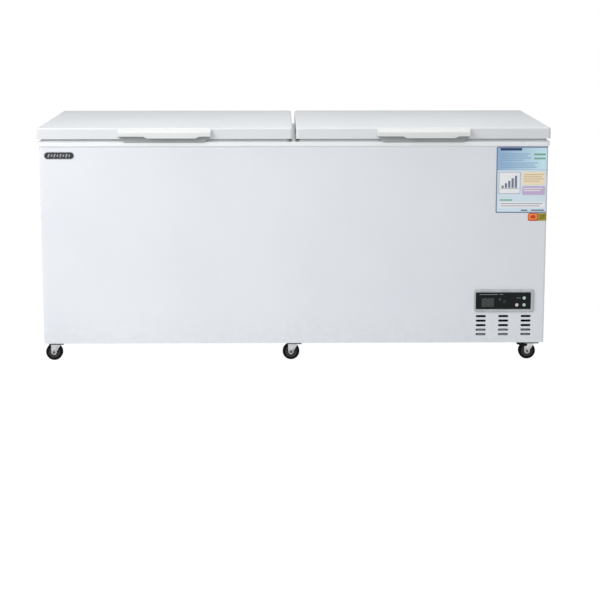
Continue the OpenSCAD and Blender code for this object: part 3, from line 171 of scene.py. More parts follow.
class Finish:
    # one material: its shader, its object coordinates, and short ways to add what varies over the surface

    def __init__(self, name, **fixed):
        # fixed holds constant inputs of the shader, with underscores for the spaces in their names
        self.material = bpy.data.materials.new(name)
        self.material.use_nodes = True
        self.tree = self.material.node_tree
        self.shader = self.tree.nodes["Principled BSDF"]
        for key, value in fixed.items():
            self.shader.inputs[key.replace("_", " ")].default_value = value
        self.coords = addNode(self.tree, "ShaderNodeTexCoord").outputs["Object"]

    def effect(self, name, **values):
        # a group on the object's coordinates, with this finish's own values
        inputs = {"Vector": self.coords, **values}
        return addNode(self.tree, "ShaderNodeGroup", inputs, node_tree=groups[name]).outputs

    def mix(self, mask, low, high):
        # the first colour where the mask is 0, the second where it is 1; 6 and 7 are the colour inputs
        return addNode(self.tree, "ShaderNodeMix", {0: mask, 6: low, 7: high}, data_type="RGBA").outputs[2]

    def spread(self, mask, low, high, start=0.0, end=1.0):
        # the mask's values between start and end drawn out to lie between low and high
        return remap(self.tree, mask, start, end, low, high)

    def dustedAndShaded(self, colour, tone, **values):
        # a colour, with dust of that tone where the mask is 1; on the forks the same mask and tone paint
        # shade instead of dust
        return self.mix(self.effect("settledDustAndShade", **values)["Mask"], colour, shade(*tone))

    def complete(self, colour, roughness, height, depth):
        # links what varies into the shader; a height from 0 to 1 stands for a relief of that depth, in metres
        relief = addNode(self.tree, "ShaderNodeBump", {"Height": height, "Distance": depth, "Strength": 1.0})
        for key, socket in (("Base Color", colour), ("Roughness", roughness), ("Normal", relief.outputs[0])):
            self.tree.links.new(socket, self.shader.inputs[key])
        return self.material


def paintedSteel(name, colour, tint, roughness, dustTop=0.2, dust=0.25, dustAndShadeTone=(170, 168, 160),
                 depth=0.00006, **fixed):
    # two near tones in slow clouds, dust towards the floor, and the ripple of sprayed paint
    f = Finish(name, **fixed)
    peel = f.effect("orangePeel")
    base = f.mix(peel["Cloud"], shade(*colour), shade(*tint))
    return f.complete(f.dustedAndShaded(base, dustAndShadeTone, Top=dustTop, Amount=dust),
                      f.spread(peel["Cloud"], roughness - 0.03, roughness + 0.04), peel["Height"], depth)


def mouldedPlastic(name, colour, tint, roughness, scale=900.0, depth=0.00004, dust=0.0,
                   dustAndShadeTone=(150, 148, 142), **fixed):
    # two near tones that follow the gloss, dust towards the floor, and the grain of the mould
    f = Finish(name, **fixed)
    grain = f.effect("mouldGrain", Scale=scale)
    base = f.mix(grain["Gloss"], shade(*colour), shade(*tint))
    return f.complete(f.dustedAndShaded(base, dustAndShadeTone, Amount=dust),
                      f.spread(grain["Gloss"], roughness - 0.06, roughness + 0.06), grain["Height"], depth)


def metal(name, colour, tint, roughness, stretch=(6.0, 260.0, 260.0), blotch=22.0, dust=0.0, dustTop=0.3,
          dustAndShadeTone=(120, 116, 108), dustAndShadeScale=35.0, depth=0.00003, metallic=1.0):
    # bright metal that is duller and rougher in its blotches of tarnish, with rolling streaks and dust; on
    # the forks the dust mask and its dark tone are painted shade towards the floor
    f = Finish(name, Metallic=metallic)
    grain = f.effect("rolledGrain", Stretch=stretch, Blotch=blotch)
    base = f.mix(grain["Blotch"], shade(*colour), shade(*tint))
    return f.complete(f.dustedAndShaded(base, dustAndShadeTone, Top=dustTop, Amount=dust, Scale=dustAndShadeScale),
                      f.spread(grain["Blotch"], roughness - 0.05, roughness + 0.12), grain["Height"], depth)


def embossedSheet(name, colour, tint, line, roughness, depth=0.00025, metallic=0.35):
    # two near tones in clouds, with the sunk net between the pads painted darker, as shade in the creases
    f = Finish(name, Metallic=metallic)
    pads = f.effect("stucco")
    cloud = f.effect("orangePeel", Cloud=4.0)
    base = f.mix(cloud["Cloud"], shade(*colour), shade(*tint))
    return f.complete(f.mix(pads["Line"], base, shade(*line)),
                      f.spread(cloud["Cloud"], roughness, roughness + 0.1), pads["Height"], depth)


def printedFilm(name, colour, tint, roughness=0.38, depth=0.00002, faded=None, fadeFrom=0.74, fadeTo=0.9):
    # two near tones in fine specks; where a third colour is given, the print fades to it from left to right
    f = Finish(name, Coat_Weight=0.1, Coat_Roughness=0.3, Specular_IOR_Level=0.25)
    speck = f.effect("orangePeel", Ripple=90.0, Cloud=60.0)
    ink = f.mix(speck["Speck"], shade(*colour), shade(*tint))
    if faded:
        place = addNode(f.tree, "ShaderNodeSeparateXYZ", {0: f.coords})
        ink = f.mix(f.spread(place.outputs["X"], 0.0, 1.0, fadeFrom, fadeTo), ink, shade(*faded))
    return f.complete(ink, f.spread(speck["Cloud"], roughness - 0.05, roughness + 0.05), speck["Height"],
                      depth)


# Colours are as seen on a screen, depths in metres; each finish has a main tone and a second one near it
paints = {"whitePaint": dict(colour=(233, 237, 241), tint=(228, 232, 238), roughness=0.36,
                             Specular_IOR_Level=0.3),
          "lidPaint": dict(colour=(227, 230, 232), tint=(223, 226, 229), roughness=0.42, dust=0.0,
                           Specular_IOR_Level=0.01),
          "grillePaint": dict(colour=(228, 231, 234), tint=(220, 223, 227), roughness=0.42, dustTop=0.4,
                              dust=0.5),
          "blackEnamel": dict(colour=(24, 24, 26), tint=(34, 34, 36), roughness=0.3, dustTop=0.45, dust=0.5,
                              depth=0.0001, Coat_Weight=0.25, Coat_Roughness=0.12)}
plastics = {"rimPlastic": dict(colour=(244, 246, 247), tint=(238, 240, 242), roughness=0.3, Coat_Weight=0.2),
            "handlePlastic": dict(colour=(229, 231, 230), tint=(224, 226, 226), roughness=0.3, scale=1500.0,
                                  depth=0.00001, Coat_Weight=0.15),
            "linerPlastic": dict(colour=(240, 242, 243), tint=(232, 235, 237), roughness=0.42, depth=0.00008),
            "drainPlastic": dict(colour=(236, 238, 238), tint=(226, 229, 230), roughness=0.4, dust=0.2),
            "gasketRubber": dict(colour=(222, 225, 227), tint=(212, 216, 219), roughness=0.6, scale=2200.0,
                                 Specular_IOR_Level=0.2),
            # the plate behind each visor: grey plastic, its darker tone painted shade under the visor
            "pocketPlasticShaded": dict(colour=(168, 172, 172), tint=(158, 162, 163), roughness=0.5, scale=1500.0),
            "slotLint": dict(colour=(150, 154, 162), tint=(120, 124, 132), roughness=0.9, scale=1600.0,
                             depth=0.0004, Specular_IOR_Level=0.1),
            "stopperRubber": dict(colour=(160, 163, 165), tint=(146, 149, 152), roughness=0.6, scale=1600.0),
            "tyreRubber": dict(colour=(7, 7, 8), tint=(13, 13, 14), roughness=0.7, scale=1800.0,
                               depth=0.0001, dust=0.03, Specular_IOR_Level=0.08),
            "hubNylon": dict(colour=(68, 69, 71), tint=(52, 53, 55), roughness=0.5, scale=1400.0, dust=0.05,
                             Specular_IOR_Level=0.3),
            "blackPlastic": dict(colour=(26, 26, 28), tint=(36, 36, 38), roughness=0.42, dust=0.3),
            "pedalPlastic": dict(colour=(9, 9, 10), tint=(15, 15, 16), roughness=0.5, scale=1600.0,
                                 Specular_IOR_Level=0.12),
            "footRubber": dict(colour=(30, 30, 31), tint=(42, 42, 43), roughness=0.7, dust=0.5),
            "foamSkin": dict(colour=(232, 214, 160), tint=(214, 194, 138), roughness=0.85, scale=420.0,
                             depth=0.0006),
            "windowPlastic": dict(colour=(14, 20, 20), tint=(20, 26, 26), roughness=0.16, scale=2600.0,
                                  depth=0.000003, Specular_IOR_Level=0.14),
            "boardGreen": dict(colour=(22, 92, 52), tint=(30, 108, 62), roughness=0.4, scale=700.0),
            "displayBody": dict(colour=(30, 30, 30), tint=(44, 44, 44), roughness=0.5),
            "coolButton": dict(colour=(190, 209, 208), tint=(180, 200, 199), roughness=0.3, scale=2400.0,
                               Coat_Weight=0.4),
            "warmButton": dict(colour=(226, 213, 217), tint=(216, 203, 208), roughness=0.3, scale=2400.0,
                               Coat_Weight=0.4),
            "fanPlastic": dict(colour=(70, 72, 76), tint=(86, 88, 92), roughness=0.4, dust=0.4)}
# the caster plates' dark grey is partly dull steel and partly painted shade under the cabinet's bottom; the
# axle heads share it
metals = {"dullPlateShaded": dict(colour=(96, 100, 102), tint=(70, 74, 76), roughness=0.42, blotch=70.0, dust=0.2),
          "zincPlate": dict(colour=(214, 216, 217), tint=(186, 188, 190), roughness=0.34, dust=0.12),
          # the forks' dark tone over their lowest 62 mm is painted shade towards the floor, broken up by the
          # dust noise
          "forkZincShadedLow": dict(colour=(222, 223, 224), tint=(196, 198, 200), roughness=0.3, blotch=90.0,
                           dust=2.0, dustTop=0.062, dustAndShadeTone=(84, 84, 85), dustAndShadeScale=140.0),
          "plainSheet": dict(colour=(199, 201, 203), tint=(193, 196, 198), roughness=0.5, blotch=46.0,
                             dust=0.3),
          "brightSteel": dict(colour=(228, 229, 230), tint=(205, 207, 209), roughness=0.2, blotch=60.0),
          "finAluminium": dict(colour=(176, 179, 182), tint=(120, 122, 124), roughness=0.5, blotch=40.0,
                               dust=0.8),
          "copperPipe": dict(colour=(205, 140, 105), tint=(150, 92, 66), roughness=0.3, blotch=55.0,
                             dust=0.2),
          "bezelSilver": dict(colour=(186, 190, 193), tint=(172, 176, 180), roughness=0.38, metallic=0.45,
                              stretch=(30.0, 200.0, 200.0), blotch=30.0, depth=0.000008),
          "badgeSilver": dict(colour=(212, 214, 216), tint=(186, 188, 190), roughness=0.24, blotch=120.0)}
films = {"labelBorder": dict(colour=(126, 143, 172), tint=(118, 135, 164)),
         "labelSky": dict(colour=(160, 192, 224), tint=(152, 184, 217), faded=(208, 240, 252)),
         "labelMist": dict(colour=(224, 240, 250), tint=(217, 234, 246)),
         "labelNavy": dict(colour=(44, 60, 104), tint=(52, 68, 112)),
         "labelBlue": dict(colour=(132, 170, 204), tint=(142, 178, 210)),
         "labelGreen": dict(colour=(116, 170, 142), tint=(128, 180, 152)),
         "labelCream": dict(colour=(251, 239, 206), tint=(246, 230, 195)),
         "labelTan": dict(colour=(220, 194, 162), tint=(210, 184, 154)),
         "labelLilac": dict(colour=(206, 187, 220), tint=(198, 178, 214)),
         "labelWhite": dict(colour=(248, 248, 250), tint=(243, 244, 247)),
         "labelSlate": dict(colour=(118, 130, 150), tint=(108, 120, 142)),
         "tagOrange": dict(colour=(252, 144, 80), tint=(246, 134, 70)),
         "tagRed": dict(colour=(204, 74, 34), tint=(192, 64, 30)),
         "tagOlive": dict(colour=(172, 158, 52), tint=(160, 148, 46)),
         "tagDark": dict(colour=(112, 104, 36), tint=(100, 94, 32)),
         "ghostPrint": dict(colour=(80, 86, 86), tint=(72, 79, 79)),
         "ghostField": dict(colour=(50, 57, 57), tint=(44, 51, 51)),
         "iconPrint": dict(colour=(98, 106, 98), tint=(88, 96, 88)),
         "linePrint": dict(colour=(176, 184, 186), tint=(164, 172, 174)),
         "badgePrint": dict(colour=(164, 167, 170), tint=(146, 149, 153)),
         "badgeBlack": dict(colour=(44, 46, 50), tint=(56, 58, 62), roughness=0.25)}
finishes = {name: paintedSteel(name, **look) for name, look in paints.items()}
finishes.update({name: mouldedPlastic(name, **look) for name, look in plastics.items()})
finishes.update({name: metal(name, **look) for name, look in metals.items()})
finishes.update({name: printedFilm(name, **look) for name, look in films.items()})
finishes["linerSheet"] = embossedSheet("linerSheet", (222, 225, 227), (206, 209, 211), (176, 180, 184), 0.3)
print("finishes made:", len(finishes))

# Which finish each node of the frame takes
sides = ("left", "right")
spots = [f"{row}_{column}" for row in ("front", "rear") for column in ("left", "middle", "right")]
nodeFinish = {
    "whitePaint": ["cabinet_wrap"],
    "lidPaint": [f"{side}_lid_skin" for side in sides],
    "grillePaint": ["rear_grille"],
    "blackEnamel": ["compressor_shell", "fan_shroud", "condenser_tubes"],
    "rimPlastic": ["top_rim", "centre_mullion"],
    "handlePlastic": [f"{side}_lid_handle" for side in sides],
    "linerPlastic": [f"{side}_lid_liner" for side in sides],
    "drainPlastic": ["drain_tube"],
    "gasketRubber": [f"{side}_lid_gasket" for side in sides],
    "stopperRubber": ["drain_plug"],
    "hubNylon": [f"wheel_{spot}" for spot in spots],
    "blackPlastic": ["terminal_cover", "cord_gland"],
    "pedalPlastic": ["brake_pedal"],
    "footRubber": ["compressor_grommets"],
    "foamSkin": ["insulation_foam"] + [f"{side}_lid_foam" for side in sides],
    "windowPlastic": ["control_window"],
    "boardGreen": ["control_board"],
    "displayBody": ["digit_display"],
    "coolButton": ["button_up", "button_down"],
    "warmButton": ["button_set"],
    "fanPlastic": ["fan_blade"],
    "dullPlateShaded": ["caster_plates"],
    "zincPlate": ["hinge_brackets", "left_hinge_leaves", "right_hinge_leaves", "fan_motor"],
    "forkZincShadedLow": [f"fork_{spot}" for spot in spots],
    "plainSheet": ["back_panel", "base_pan", "compressor_tray"],
    "brightSteel": ["hinge_pins", "caster_bolts", "grille_screws"],
    "finAluminium": ["condenser_fins"],
    "copperPipe": ["evaporator_coil", "filter_drier", "refrigerant_pipes"],
    "bezelSilver": ["control_bezel"],
    "linerSheet": ["inner_liner"]}
dressed = set()
for finishName, nodeNames in nodeFinish.items():
    for nodeName in nodeNames:
        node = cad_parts[nodeName]
        node.data.materials.clear()
        node.data.materials.append(finishes[finishName])
        dressed.add(nodeName)
print("nodes left without a finish:", sorted(set(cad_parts) - dressed))


def gridFaces(rows, columns, closeRows, closeColumns, first):
    # the four corners of each cell of a grid, as indices; the last row or column joins the first where asked
    r, c = np.meshgrid(np.arange(rows if closeRows else rows - 1),
                       np.arange(columns if closeColumns else columns - 1), indexing="ij")
    r, c = r.ravel(), c.ravel()
    nextR, nextC = (r + 1) % rows, (c + 1) % columns
    corners = [r * columns + c, r * columns + nextC, nextR * columns + nextC, nextR * columns + c]
    return first + np.stack(corners, 1)


def tidyMesh(mesh, sharp, merged=2e-6, closedUp=1e-6):
    # joins seams and poles, drops faces that have closed up, and turns all faces outwards
    work = bmesh.new()
    work.from_mesh(mesh)
    bmesh.ops.remove_doubles(work, verts=work.verts, dist=merged)
    bmesh.ops.dissolve_degenerate(work, edges=work.edges, dist=closedUp)
    bmesh.ops.recalc_face_normals(work, faces=work.faces)
    work.to_mesh(mesh)
    work.free()
    mesh.polygons.foreach_set("use_smooth", np.ones(len(mesh.polygons), bool))
    mesh.set_sharp_from_angle(angle=math.radians(sharp))


def makePiece(name, grids, finishName, body, replaced=(), sharp=40):
    # one mesh of all its grids, each (rows x columns x 3 points, closed along rows, closed along columns);
    # edges that bend by more than the sharp angle stay crisp
    points, faces, count = [], [], 0
    for grid, closeRows, closeColumns in grids:
        points.append(grid.reshape(-1, 3))
        faces.append(gridFaces(grid.shape[0], grid.shape[1], closeRows, closeColumns, count))
        count += grid.shape[0] * grid.shape[1]
    points, faces = np.concatenate(points), np.concatenate(faces)
    mesh = bpy.data.meshes.new(name)
    mesh.vertices.add(len(points))
    mesh.vertices.foreach_set("co", points.astype(np.float32).ravel())
    mesh.loops.add(faces.size)
    mesh.loops.foreach_set("vertex_index", faces.astype(np.int32).ravel())
    mesh.polygons.add(len(faces))
    mesh.polygons.foreach_set("loop_start", np.arange(0, faces.size, 4, dtype=np.int32))
    mesh.polygons.foreach_set("loop_total", np.full(len(faces), 4, np.int32))
    mesh.update(calc_edges=True)
    tidyMesh(mesh, sharp)
    piece = bpy.data.objects.new(name, mesh)
    scene.collection.objects.link(piece)
    mesh.materials.append(finishes[finishName])
    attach(piece, body)
    if replaced:
        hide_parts(*replaced)


def outline(width, height, radius, steps):
    # rounded rectangle: four quarter arcs, anticlockwise from the right; gives points and outward directions
    turn = (np.linspace(0, 90, steps + 1)[None, :] + np.array([0, 90, 180, 270])[:, None]).ravel()
    out = np.stack([np.cos(np.radians(turn)), np.sin(np.radians(turn))], 1)
    corner = np.repeat(np.array([[1, 1], [-1, 1], [-1, -1], [1, -1]]), steps + 1, 0)
    return corner * (np.array([width, height]) / 2 - radius) + out * radius, out


def plateGrid(width, height, radius, levels, steps):
    # rings of one outline: each level is (how far drawn in, how high it lies), None for the middle point
    shape, out = outline(width, height, radius, steps)
    rings = []
    for inset, rise in levels:
        flat = shape * 0 if inset is None else shape - out * inset
        rings.append(np.concatenate([flat, np.full((len(flat), 1), rise)], 1))
    return np.stack(rings)


def onFront(points, origin):
    # a shape's own x laid to the right, its y up and its z out of the front, all from an origin
    return origin + points[..., :1] * xAxis + points[..., 1:2] * zAxis - points[..., 2:3] * yAxis


def mirrored(half, signs):
    # half a profile, and then its points in reverse with their numbers times the signs
    return np.concatenate([half, np.array(half)[::-1] * signs])


def lathe(profile, centre, axis, side, steps, ripple=None):
    # a profile of (radius, place along the axis) turned about it: centre + radius * direction + place * axis;
    # ripple shifts points along the axis by their radius, place and angle
    turn = np.linspace(0, 2 * np.pi, steps, endpoint=False)[:, None]
    radius, along = np.asarray(profile, float).T
    radius, along = radius + 0 * turn, along + 0 * turn
    if ripple:
        along = along + ripple(radius, along, turn)
    around = np.cos(turn) * side + np.sin(turn) * np.cross(axis, side)
    return np.asarray(centre) + radius[..., None] * around[:, None, :] + along[..., None] * axis


# Handles, in millimetres: a hollow visor in front of a plate that hangs below the lid; the plate's darker
# grey is painted shade under the visor
handle = dict(fall=10, nose=5, wall=3, skirt=13, lip=4, notch=6.5, leftNotch=92, rightNotch=42, taper=22,
              shoulder=8.5, plateTop=33, overlap=0.5, plateGap=0.3, edge=0.8, steps=141, roofSteps=6,
              noseSteps=9, faceSteps=6, lipSteps=7)


def handleLip(x, half):
    # height of the lip: a low line, raised at both ends by ramps that are twice as long as they are high
    ramp = 2 * handle["notch"]
    left = np.clip((handle["leftNotch"] + ramp - half - x) / ramp, 0, 1)
    right = np.clip((x + handle["rightNotch"] + ramp - half) / ramp, 0, 1)
    return handle["lip"] + handle["notch"] * np.maximum(left, right)


def handlePlace(low, high, x, reach, height):
    # x counts from the handle's middle, reach outwards from the lid's face, height from the lid's lower edge
    middle = (low.x + high.x) / 2
    places = [middle + x[:, None] * mm + 0 * reach, high.y - reach * mm,
              low.z + (handle["skirt"] + height) * mm]
    return np.stack(places, 2)


def visorGrid(low, high):
    # side view: a top that falls evenly from the lid, a round nose, an upright face and a half-round lip, and
    # the same line drawn in by the wall. Heights are a fixed part + a share of the lip's height. In the end
    # walls the inner line lies on the plate, and the last few millimetres draw in along a quarter circle
    depth, half, wall, nose = (high.y - low.y) / mm, (high.x - low.x) / 2 / mm, handle["wall"], handle["nose"]
    top = (high.z - low.z) / mm - handle["skirt"]
    slope = handle["fall"] / depth
    lean = math.hypot(1, slope)
    noseX = depth - nose
    noseZ = top - slope * noseX - nose * lean
    turn = np.linspace(math.atan2(1, slope), 0, handle["noseSteps"])
    roof = np.linspace(0, 1, handle["roofSteps"])[:-1]
    face = np.linspace(0.1, 0.9, handle["faceSteps"])
    halfRound = np.linspace(0, np.pi, handle["lipSteps"])
    reach = np.r_[roof * (noseX + nose * slope / lean), noseX + nose * np.cos(turn), depth + 0 * face,
                  depth - wall / 2 + wall / 2 * np.cos(halfRound)]
    fixed = np.r_[top - slope * reach[:len(roof)], noseZ + nose * np.sin(turn), noseZ * (1 - face),
                  wall / 2 * (1 - np.sin(halfRound))]
    share = np.r_[0 * roof, 0 * turn, face, 1 + 0 * halfRound]
    innerRoof = np.linspace(noseX + (nose - wall) * slope / lean, wall, handle["roofSteps"])[1:]
    innerReach = np.r_[depth - wall + 0 * face, noseX + (nose - wall) * np.cos(turn[::-1]), innerRoof]
    innerFixed = np.r_[noseZ * face, noseZ + (nose - wall) * np.sin(turn[::-1]),
                       top - wall * lean - slope * innerRoof]
    innerShare = np.r_[1 - face, 0 * turn, 0 * innerRoof]
    rise = np.linspace(0, 1, len(innerReach))
    ends = half - wall + wall * np.sin(np.linspace(0, np.pi / 2, handle["lipSteps"]))
    inside = np.linspace(-1, 1, handle["steps"]) * (half - wall)
    x = np.r_[-half, -ends[::-1], inside, ends, half]
    hollow = np.r_[0, 0 * ends, 1 + 0 * inside, 0 * ends, 0][:, None]
    lip = handleLip(x, half)[:, None]
    plateTop = handle["plateTop"] - handle["overlap"]
    allReach = np.concatenate([reach + 0 * lip, hollow * innerReach + (1 - hollow) * wall, 0 * lip], 1)
    inner = hollow * (innerFixed + innerShare * lip) + (1 - hollow) * (plateTop * rise + (1 - rise) * lip)
    height = np.concatenate([fixed + share * lip, inner, plateTop + 0 * lip], 1)
    past = np.clip(np.abs(x) - half + wall, 0, wall)[:, None]
    drawn = wall - np.sqrt(wall ** 2 - past ** 2)
    height = height - drawn * np.clip((height - lip) / (top - lip), 0, 1)
    allReach = allReach * (1 - drawn / depth)
    allReach[[0, -1]] = wall / 2
    return handlePlace(low, high, x, allReach, height)


def plateBehind(low, high):
    # a slab: its lower edge lies at the skirt and rises to the shoulder along straight slants at both ends
    half, wall, edge = (high.x - low.x) / 2 / mm - handle["plateGap"], handle["wall"], handle["edge"]
    x = np.linspace(-1, 1, handle["steps"]) * half
    x = np.r_[x[0], x, x[-1]]
    slant = np.clip((np.abs(x) - half + handle["taper"]) / handle["taper"], 0, 1)[:, None]
    bottom = -handle["skirt"] + (handle["skirt"] + handle["shoulder"]) * slant
    up = np.array([0, 0, 0.02, 0.06, 0.4, 1, 1])
    reach = np.array([0, wall - edge, wall - edge / 4, wall, wall, wall, 0]) + 0 * bottom
    reach[[0, -1]] = wall / 2
    return handlePlace(low, high, x, reach, bottom + (handle["plateTop"] - bottom) * up)


for side in sides:
    low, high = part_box(f"{side}_lid_handle")
    makePiece(f"{side}_handle_visor", [(visorGrid(low, high), False, True)], "handlePlastic", f"{side}_lid",
              [f"{side}_lid_handle"])
    makePiece(f"{side}_handle_plate", [(plateBehind(low, high), False, True)], "pocketPlasticShaded", f"{side}_lid")
print("handles made")

# Gaskets, in millimetres: half the profile of foot, folds and dart, carried round each lid's outline
gasket = dict(width=16, corner=6, steps=8,
              half=[(7.6, 0), (8, 0.5), (8, 3.2), (7.2, 4.0), (4.4, 4.3), (3.6, 4.9), (4.6, 5.6), (6.2, 6.2),
                    (6.2, 6.8), (4.6, 7.4), (3.6, 8.1), (4.4, 8.8), (6, 9.1), (6, 10.9), (2.6, 11),
                    (2, 11.6), (2, 13.8), (1, 14.2)])


def gasketGrid(low, high):
    # path point + direction across * sideways part of the profile + its height
    middle = (low + high) / 2
    path, out = outline(high.x - low.x - gasket["width"] * mm, high.y - low.y - gasket["width"] * mm,
                        gasket["corner"] * mm, gasket["steps"])
    across, rise = mirrored(gasket["half"], (-1, 1)).T * mm
    flat = path[:, None, :] + out[:, None, :] * across[None, :, None] + np.array([middle.x, middle.y])
    return np.concatenate([flat, np.broadcast_to(low.z + rise, flat.shape[:2])[..., None]], 2)


for side in sides:
    profile = gasketGrid(*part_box(f"{side}_lid_gasket"))
    makePiece(f"{side}_gasket_profile", [(profile, True, True)], "gasketRubber", f"{side}_lid",
              [f"{side}_lid_gasket"], sharp=60)
print("gaskets made")

# Wheels, in millimetres: half the profiles of a tyre with two shallow grooves and of a hub with ribs
wheel = dict(steps=96, ribs=8, ribHeight=2.2, ribIn=9, ribOut=19, ribFade=1.5,
             tyre=[(21.2, -8.6), (23, -9.4), (26, -10.2), (28.6, -10.3), (30.2, -9.0), (30.9, -6.5),
                   (31, -2.6), (30.5, -2.2), (30.5, -1.2), (31, -0.8)],
             hub=[(4.1, -11), (8.2, -11), (8.8, -10.4), (9.2, -7), (10.5, -5), (13, -4.6), (16.5, -4.6),
                  (18.4, -5.4), (19.2, -8.2), (21.1, -8.4)])


def hubRibs(radius, along, turn):
    # each rib lifts the web on its own side: height * bump in angle, 3 cos(ribs * angle) - 2 held in 0 to 1,
    # * fades at the inner and the outer rim
    bump = np.clip(np.cos(turn * wheel["ribs"]) * 3 - 2, 0, 1)
    fromIn = np.clip((radius / mm - wheel["ribIn"]) / wheel["ribFade"], 0, 1)
    fromOut = np.clip((wheel["ribOut"] - radius / mm) / wheel["ribFade"], 0, 1)
    return wheel["ribHeight"] * mm * bump * fromIn * fromOut * np.sign(along)


tyreProfile, hubProfile = mirrored(wheel["tyre"], (1, -1)) * mm, mirrored(wheel["hub"], (1, -1)) * mm
for spot in spots:
    centre = middleOf(f"wheel_{spot}")
    makePiece(f"hub_{spot}", [(lathe(hubProfile, centre, yAxis, xAxis, wheel["steps"], hubRibs), True, True)],
              "hubNylon", f"wheel_{spot}", sharp=35)
    makePiece(f"tyre_{spot}", [(lathe(tyreProfile, centre, yAxis, xAxis, wheel["steps"]), True, True)],
              "tyreRubber", f"wheel_{spot}", [f"wheel_{spot}"], sharp=60)
print("wheels made")

# Screws on the back, in millimetres: domed discs with a crossed recess
screw = dict(radius=4.2, height=2.3, rim=0.25, cross=0.55, crossReach=2.4, crossDepth=0.9, steps=24)


def screwHeads(centres, scale):
    # the dome's height is its rim + the rest * a quarter circle
    size = {key: value * scale * mm for key, value in screw.items()}
    t = np.linspace(0, 1, 9)
    dome = size["height"] * (screw["rim"] + (1 - screw["rim"]) * np.sqrt(1 - (1 - t) ** 2))
    profile = np.stack([np.r_[size["radius"], size["radius"] * (1 - t)], np.r_[0, dome]], 1)

    def recess(radius, along, turn):
        # a cross: near either of two lines through the middle, the dome is lowered
        near = np.minimum(np.abs(radius * np.cos(turn)), np.abs(radius * np.sin(turn))) < size["cross"]
        return -size["crossDepth"] * (near & (radius < size["crossReach"]) & (radius > 0))
    return [(lathe(profile, centre, yAxis, zAxis, screw["steps"], recess), True, False) for centre in centres]


# On the flanges of the hinge housings
hinge = dict(spread=600 * mm, screwOut=38 * mm, low=16 * mm, high=84 * mm, flangeThick=2 * mm)
lidX, hingeZ = middleOf("right_lid_skin")[0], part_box("hinge_brackets")[0].z
hingeXs = [s * lidX + offset for s in (-1, 1) for offset in (-hinge["spread"] / 2, hinge["spread"] / 2)]
flangeScrews = [(x + s * hinge["screwOut"], backY + hinge["flangeThick"], hingeZ + z)
                for x in hingeXs for s in (-1, 1) for z in (hinge["low"], hinge["high"])]
makePiece("hinge_screws", screwHeads(flangeScrews, 1.0), "brightSteel", "cabinet")

# Along the lower edge and up both sides of the back panel
panel = dict(inset=12 * mm, across=9, up=4, low=30 * mm, high=40 * mm, scale=0.85)
panelXs = np.linspace(-sideX + panel["inset"], sideX - panel["inset"], panel["across"])
panelZs = np.linspace(baseZ + panel["low"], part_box("back_panel")[1].z - panel["high"], panel["up"])
panelScrews = [(x, backY, baseZ + panel["inset"]) for x in panelXs]
panelScrews += [(x, backY, z) for x in panelXs[[0, -1]] for z in panelZs[1:]]
makePiece("panel_screws", screwHeads(panelScrews, panel["scale"]), "brightSteel", "cabinet")

# Low heads on the axles and on the pedal's pivot: one dome, as shares of radius and height
axleHead = dict(radius=5 * mm, height=2.6 * mm, out=15.8 * mm)
pedalCap = dict(radius=4.6 * mm, height=2.2 * mm, gap=0.2 * mm, behind=6 * mm, above=25 * mm)
lowDome = [(1, 0), (1, 0.5), (0.8, 0.9), (0.4, 1), (0, 1)]


def headPair(middle, out, head):
    # two heads that face away from each other: the dome * (radius, height), turned about the pin
    profile = np.array(lowDome) * (head["radius"], head["height"])
    return [(lathe(profile, middle + way * out, way, xAxis, screw["steps"]), True, False)
            for way in (-yAxis, yAxis)]


for spot in spots:
    heads = headPair(middleOf(f"wheel_{spot}"), axleHead["out"], axleHead)
    makePiece(f"axle_heads_{spot}", heads, "dullPlateShaded", f"fork_{spot}")
pedalLow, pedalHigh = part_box("brake_pedal")
pivot = middleOf("wheel_front_right") - xAxis * pedalCap["behind"] + zAxis * pedalCap["above"]
caps = headPair(pivot, (pedalHigh.y - pedalLow.y) / 2 + pedalCap["gap"], pedalCap)
makePiece("pedal_caps", caps, "pedalPlastic", "fork_front_right")
print("screws made")

# Sheets stuck on the front: they follow the bent edge of the cabinet at the right
bend = dict(radius=9 * mm, film=0.25 * mm, layer=0.08 * mm, cornerSteps=5, steps=10)
flatEnd = sideX - bend["radius"]


def overBend(x, z, lift):
    # beyond the flat front the sheet turns about the bend's centre: angle = distance past the flat / radius
    angle = np.clip(x - flatEnd, 0, None) / bend["radius"]
    reach = bend["radius"] + lift
    across = np.minimum(x, flatEnd) + reach * np.sin(angle)
    return np.stack([across, frontY + bend["radius"] - reach * np.cos(angle), z], -1)


def patch(x0, x1, z0, z1, corner, lift, thick):
    # a sheet with round corners: each row is drawn in at its ends by the corner's arc. Its front, back, upper
    # and lower edges are one grid, and its two upright edges are narrow ones
    corner = min(corner, (x1 - x0) / 2, (z1 - z0) / 2)
    arc = corner * (1 - np.cos(np.linspace(0, np.pi / 2, bend["cornerSteps"])))
    zs = np.r_[z0 + arc, z1 - arc[::-1]] if corner > 0 else np.array([z0, z1])
    gap = np.clip(corner - np.minimum(zs - z0, z1 - zs), 0, corner)
    inset = corner - np.sqrt(np.clip(corner ** 2 - gap ** 2, 0, None))
    columns = np.linspace(0, 1, 3)
    if x1 > flatEnd:
        start = max((flatEnd - x0) / (x1 - x0), 0)
        columns = np.unique(np.r_[0, np.linspace(start, 1, bend["steps"])])
    x = (x0 + inset)[:, None] + (x1 - x0 - 2 * inset)[:, None] * columns[None, :]
    z = zs[:, None] + 0 * x
    front, back = overBend(x, z, lift + thick), overBend(x, z, lift)
    rows = np.concatenate([back[:1], front, back[::-1]], 0)
    edges = [(np.stack([front[:, end], back[:, end]], 1), False, False) for end in (0, -1)]
    return [(rows, False, False)] + edges


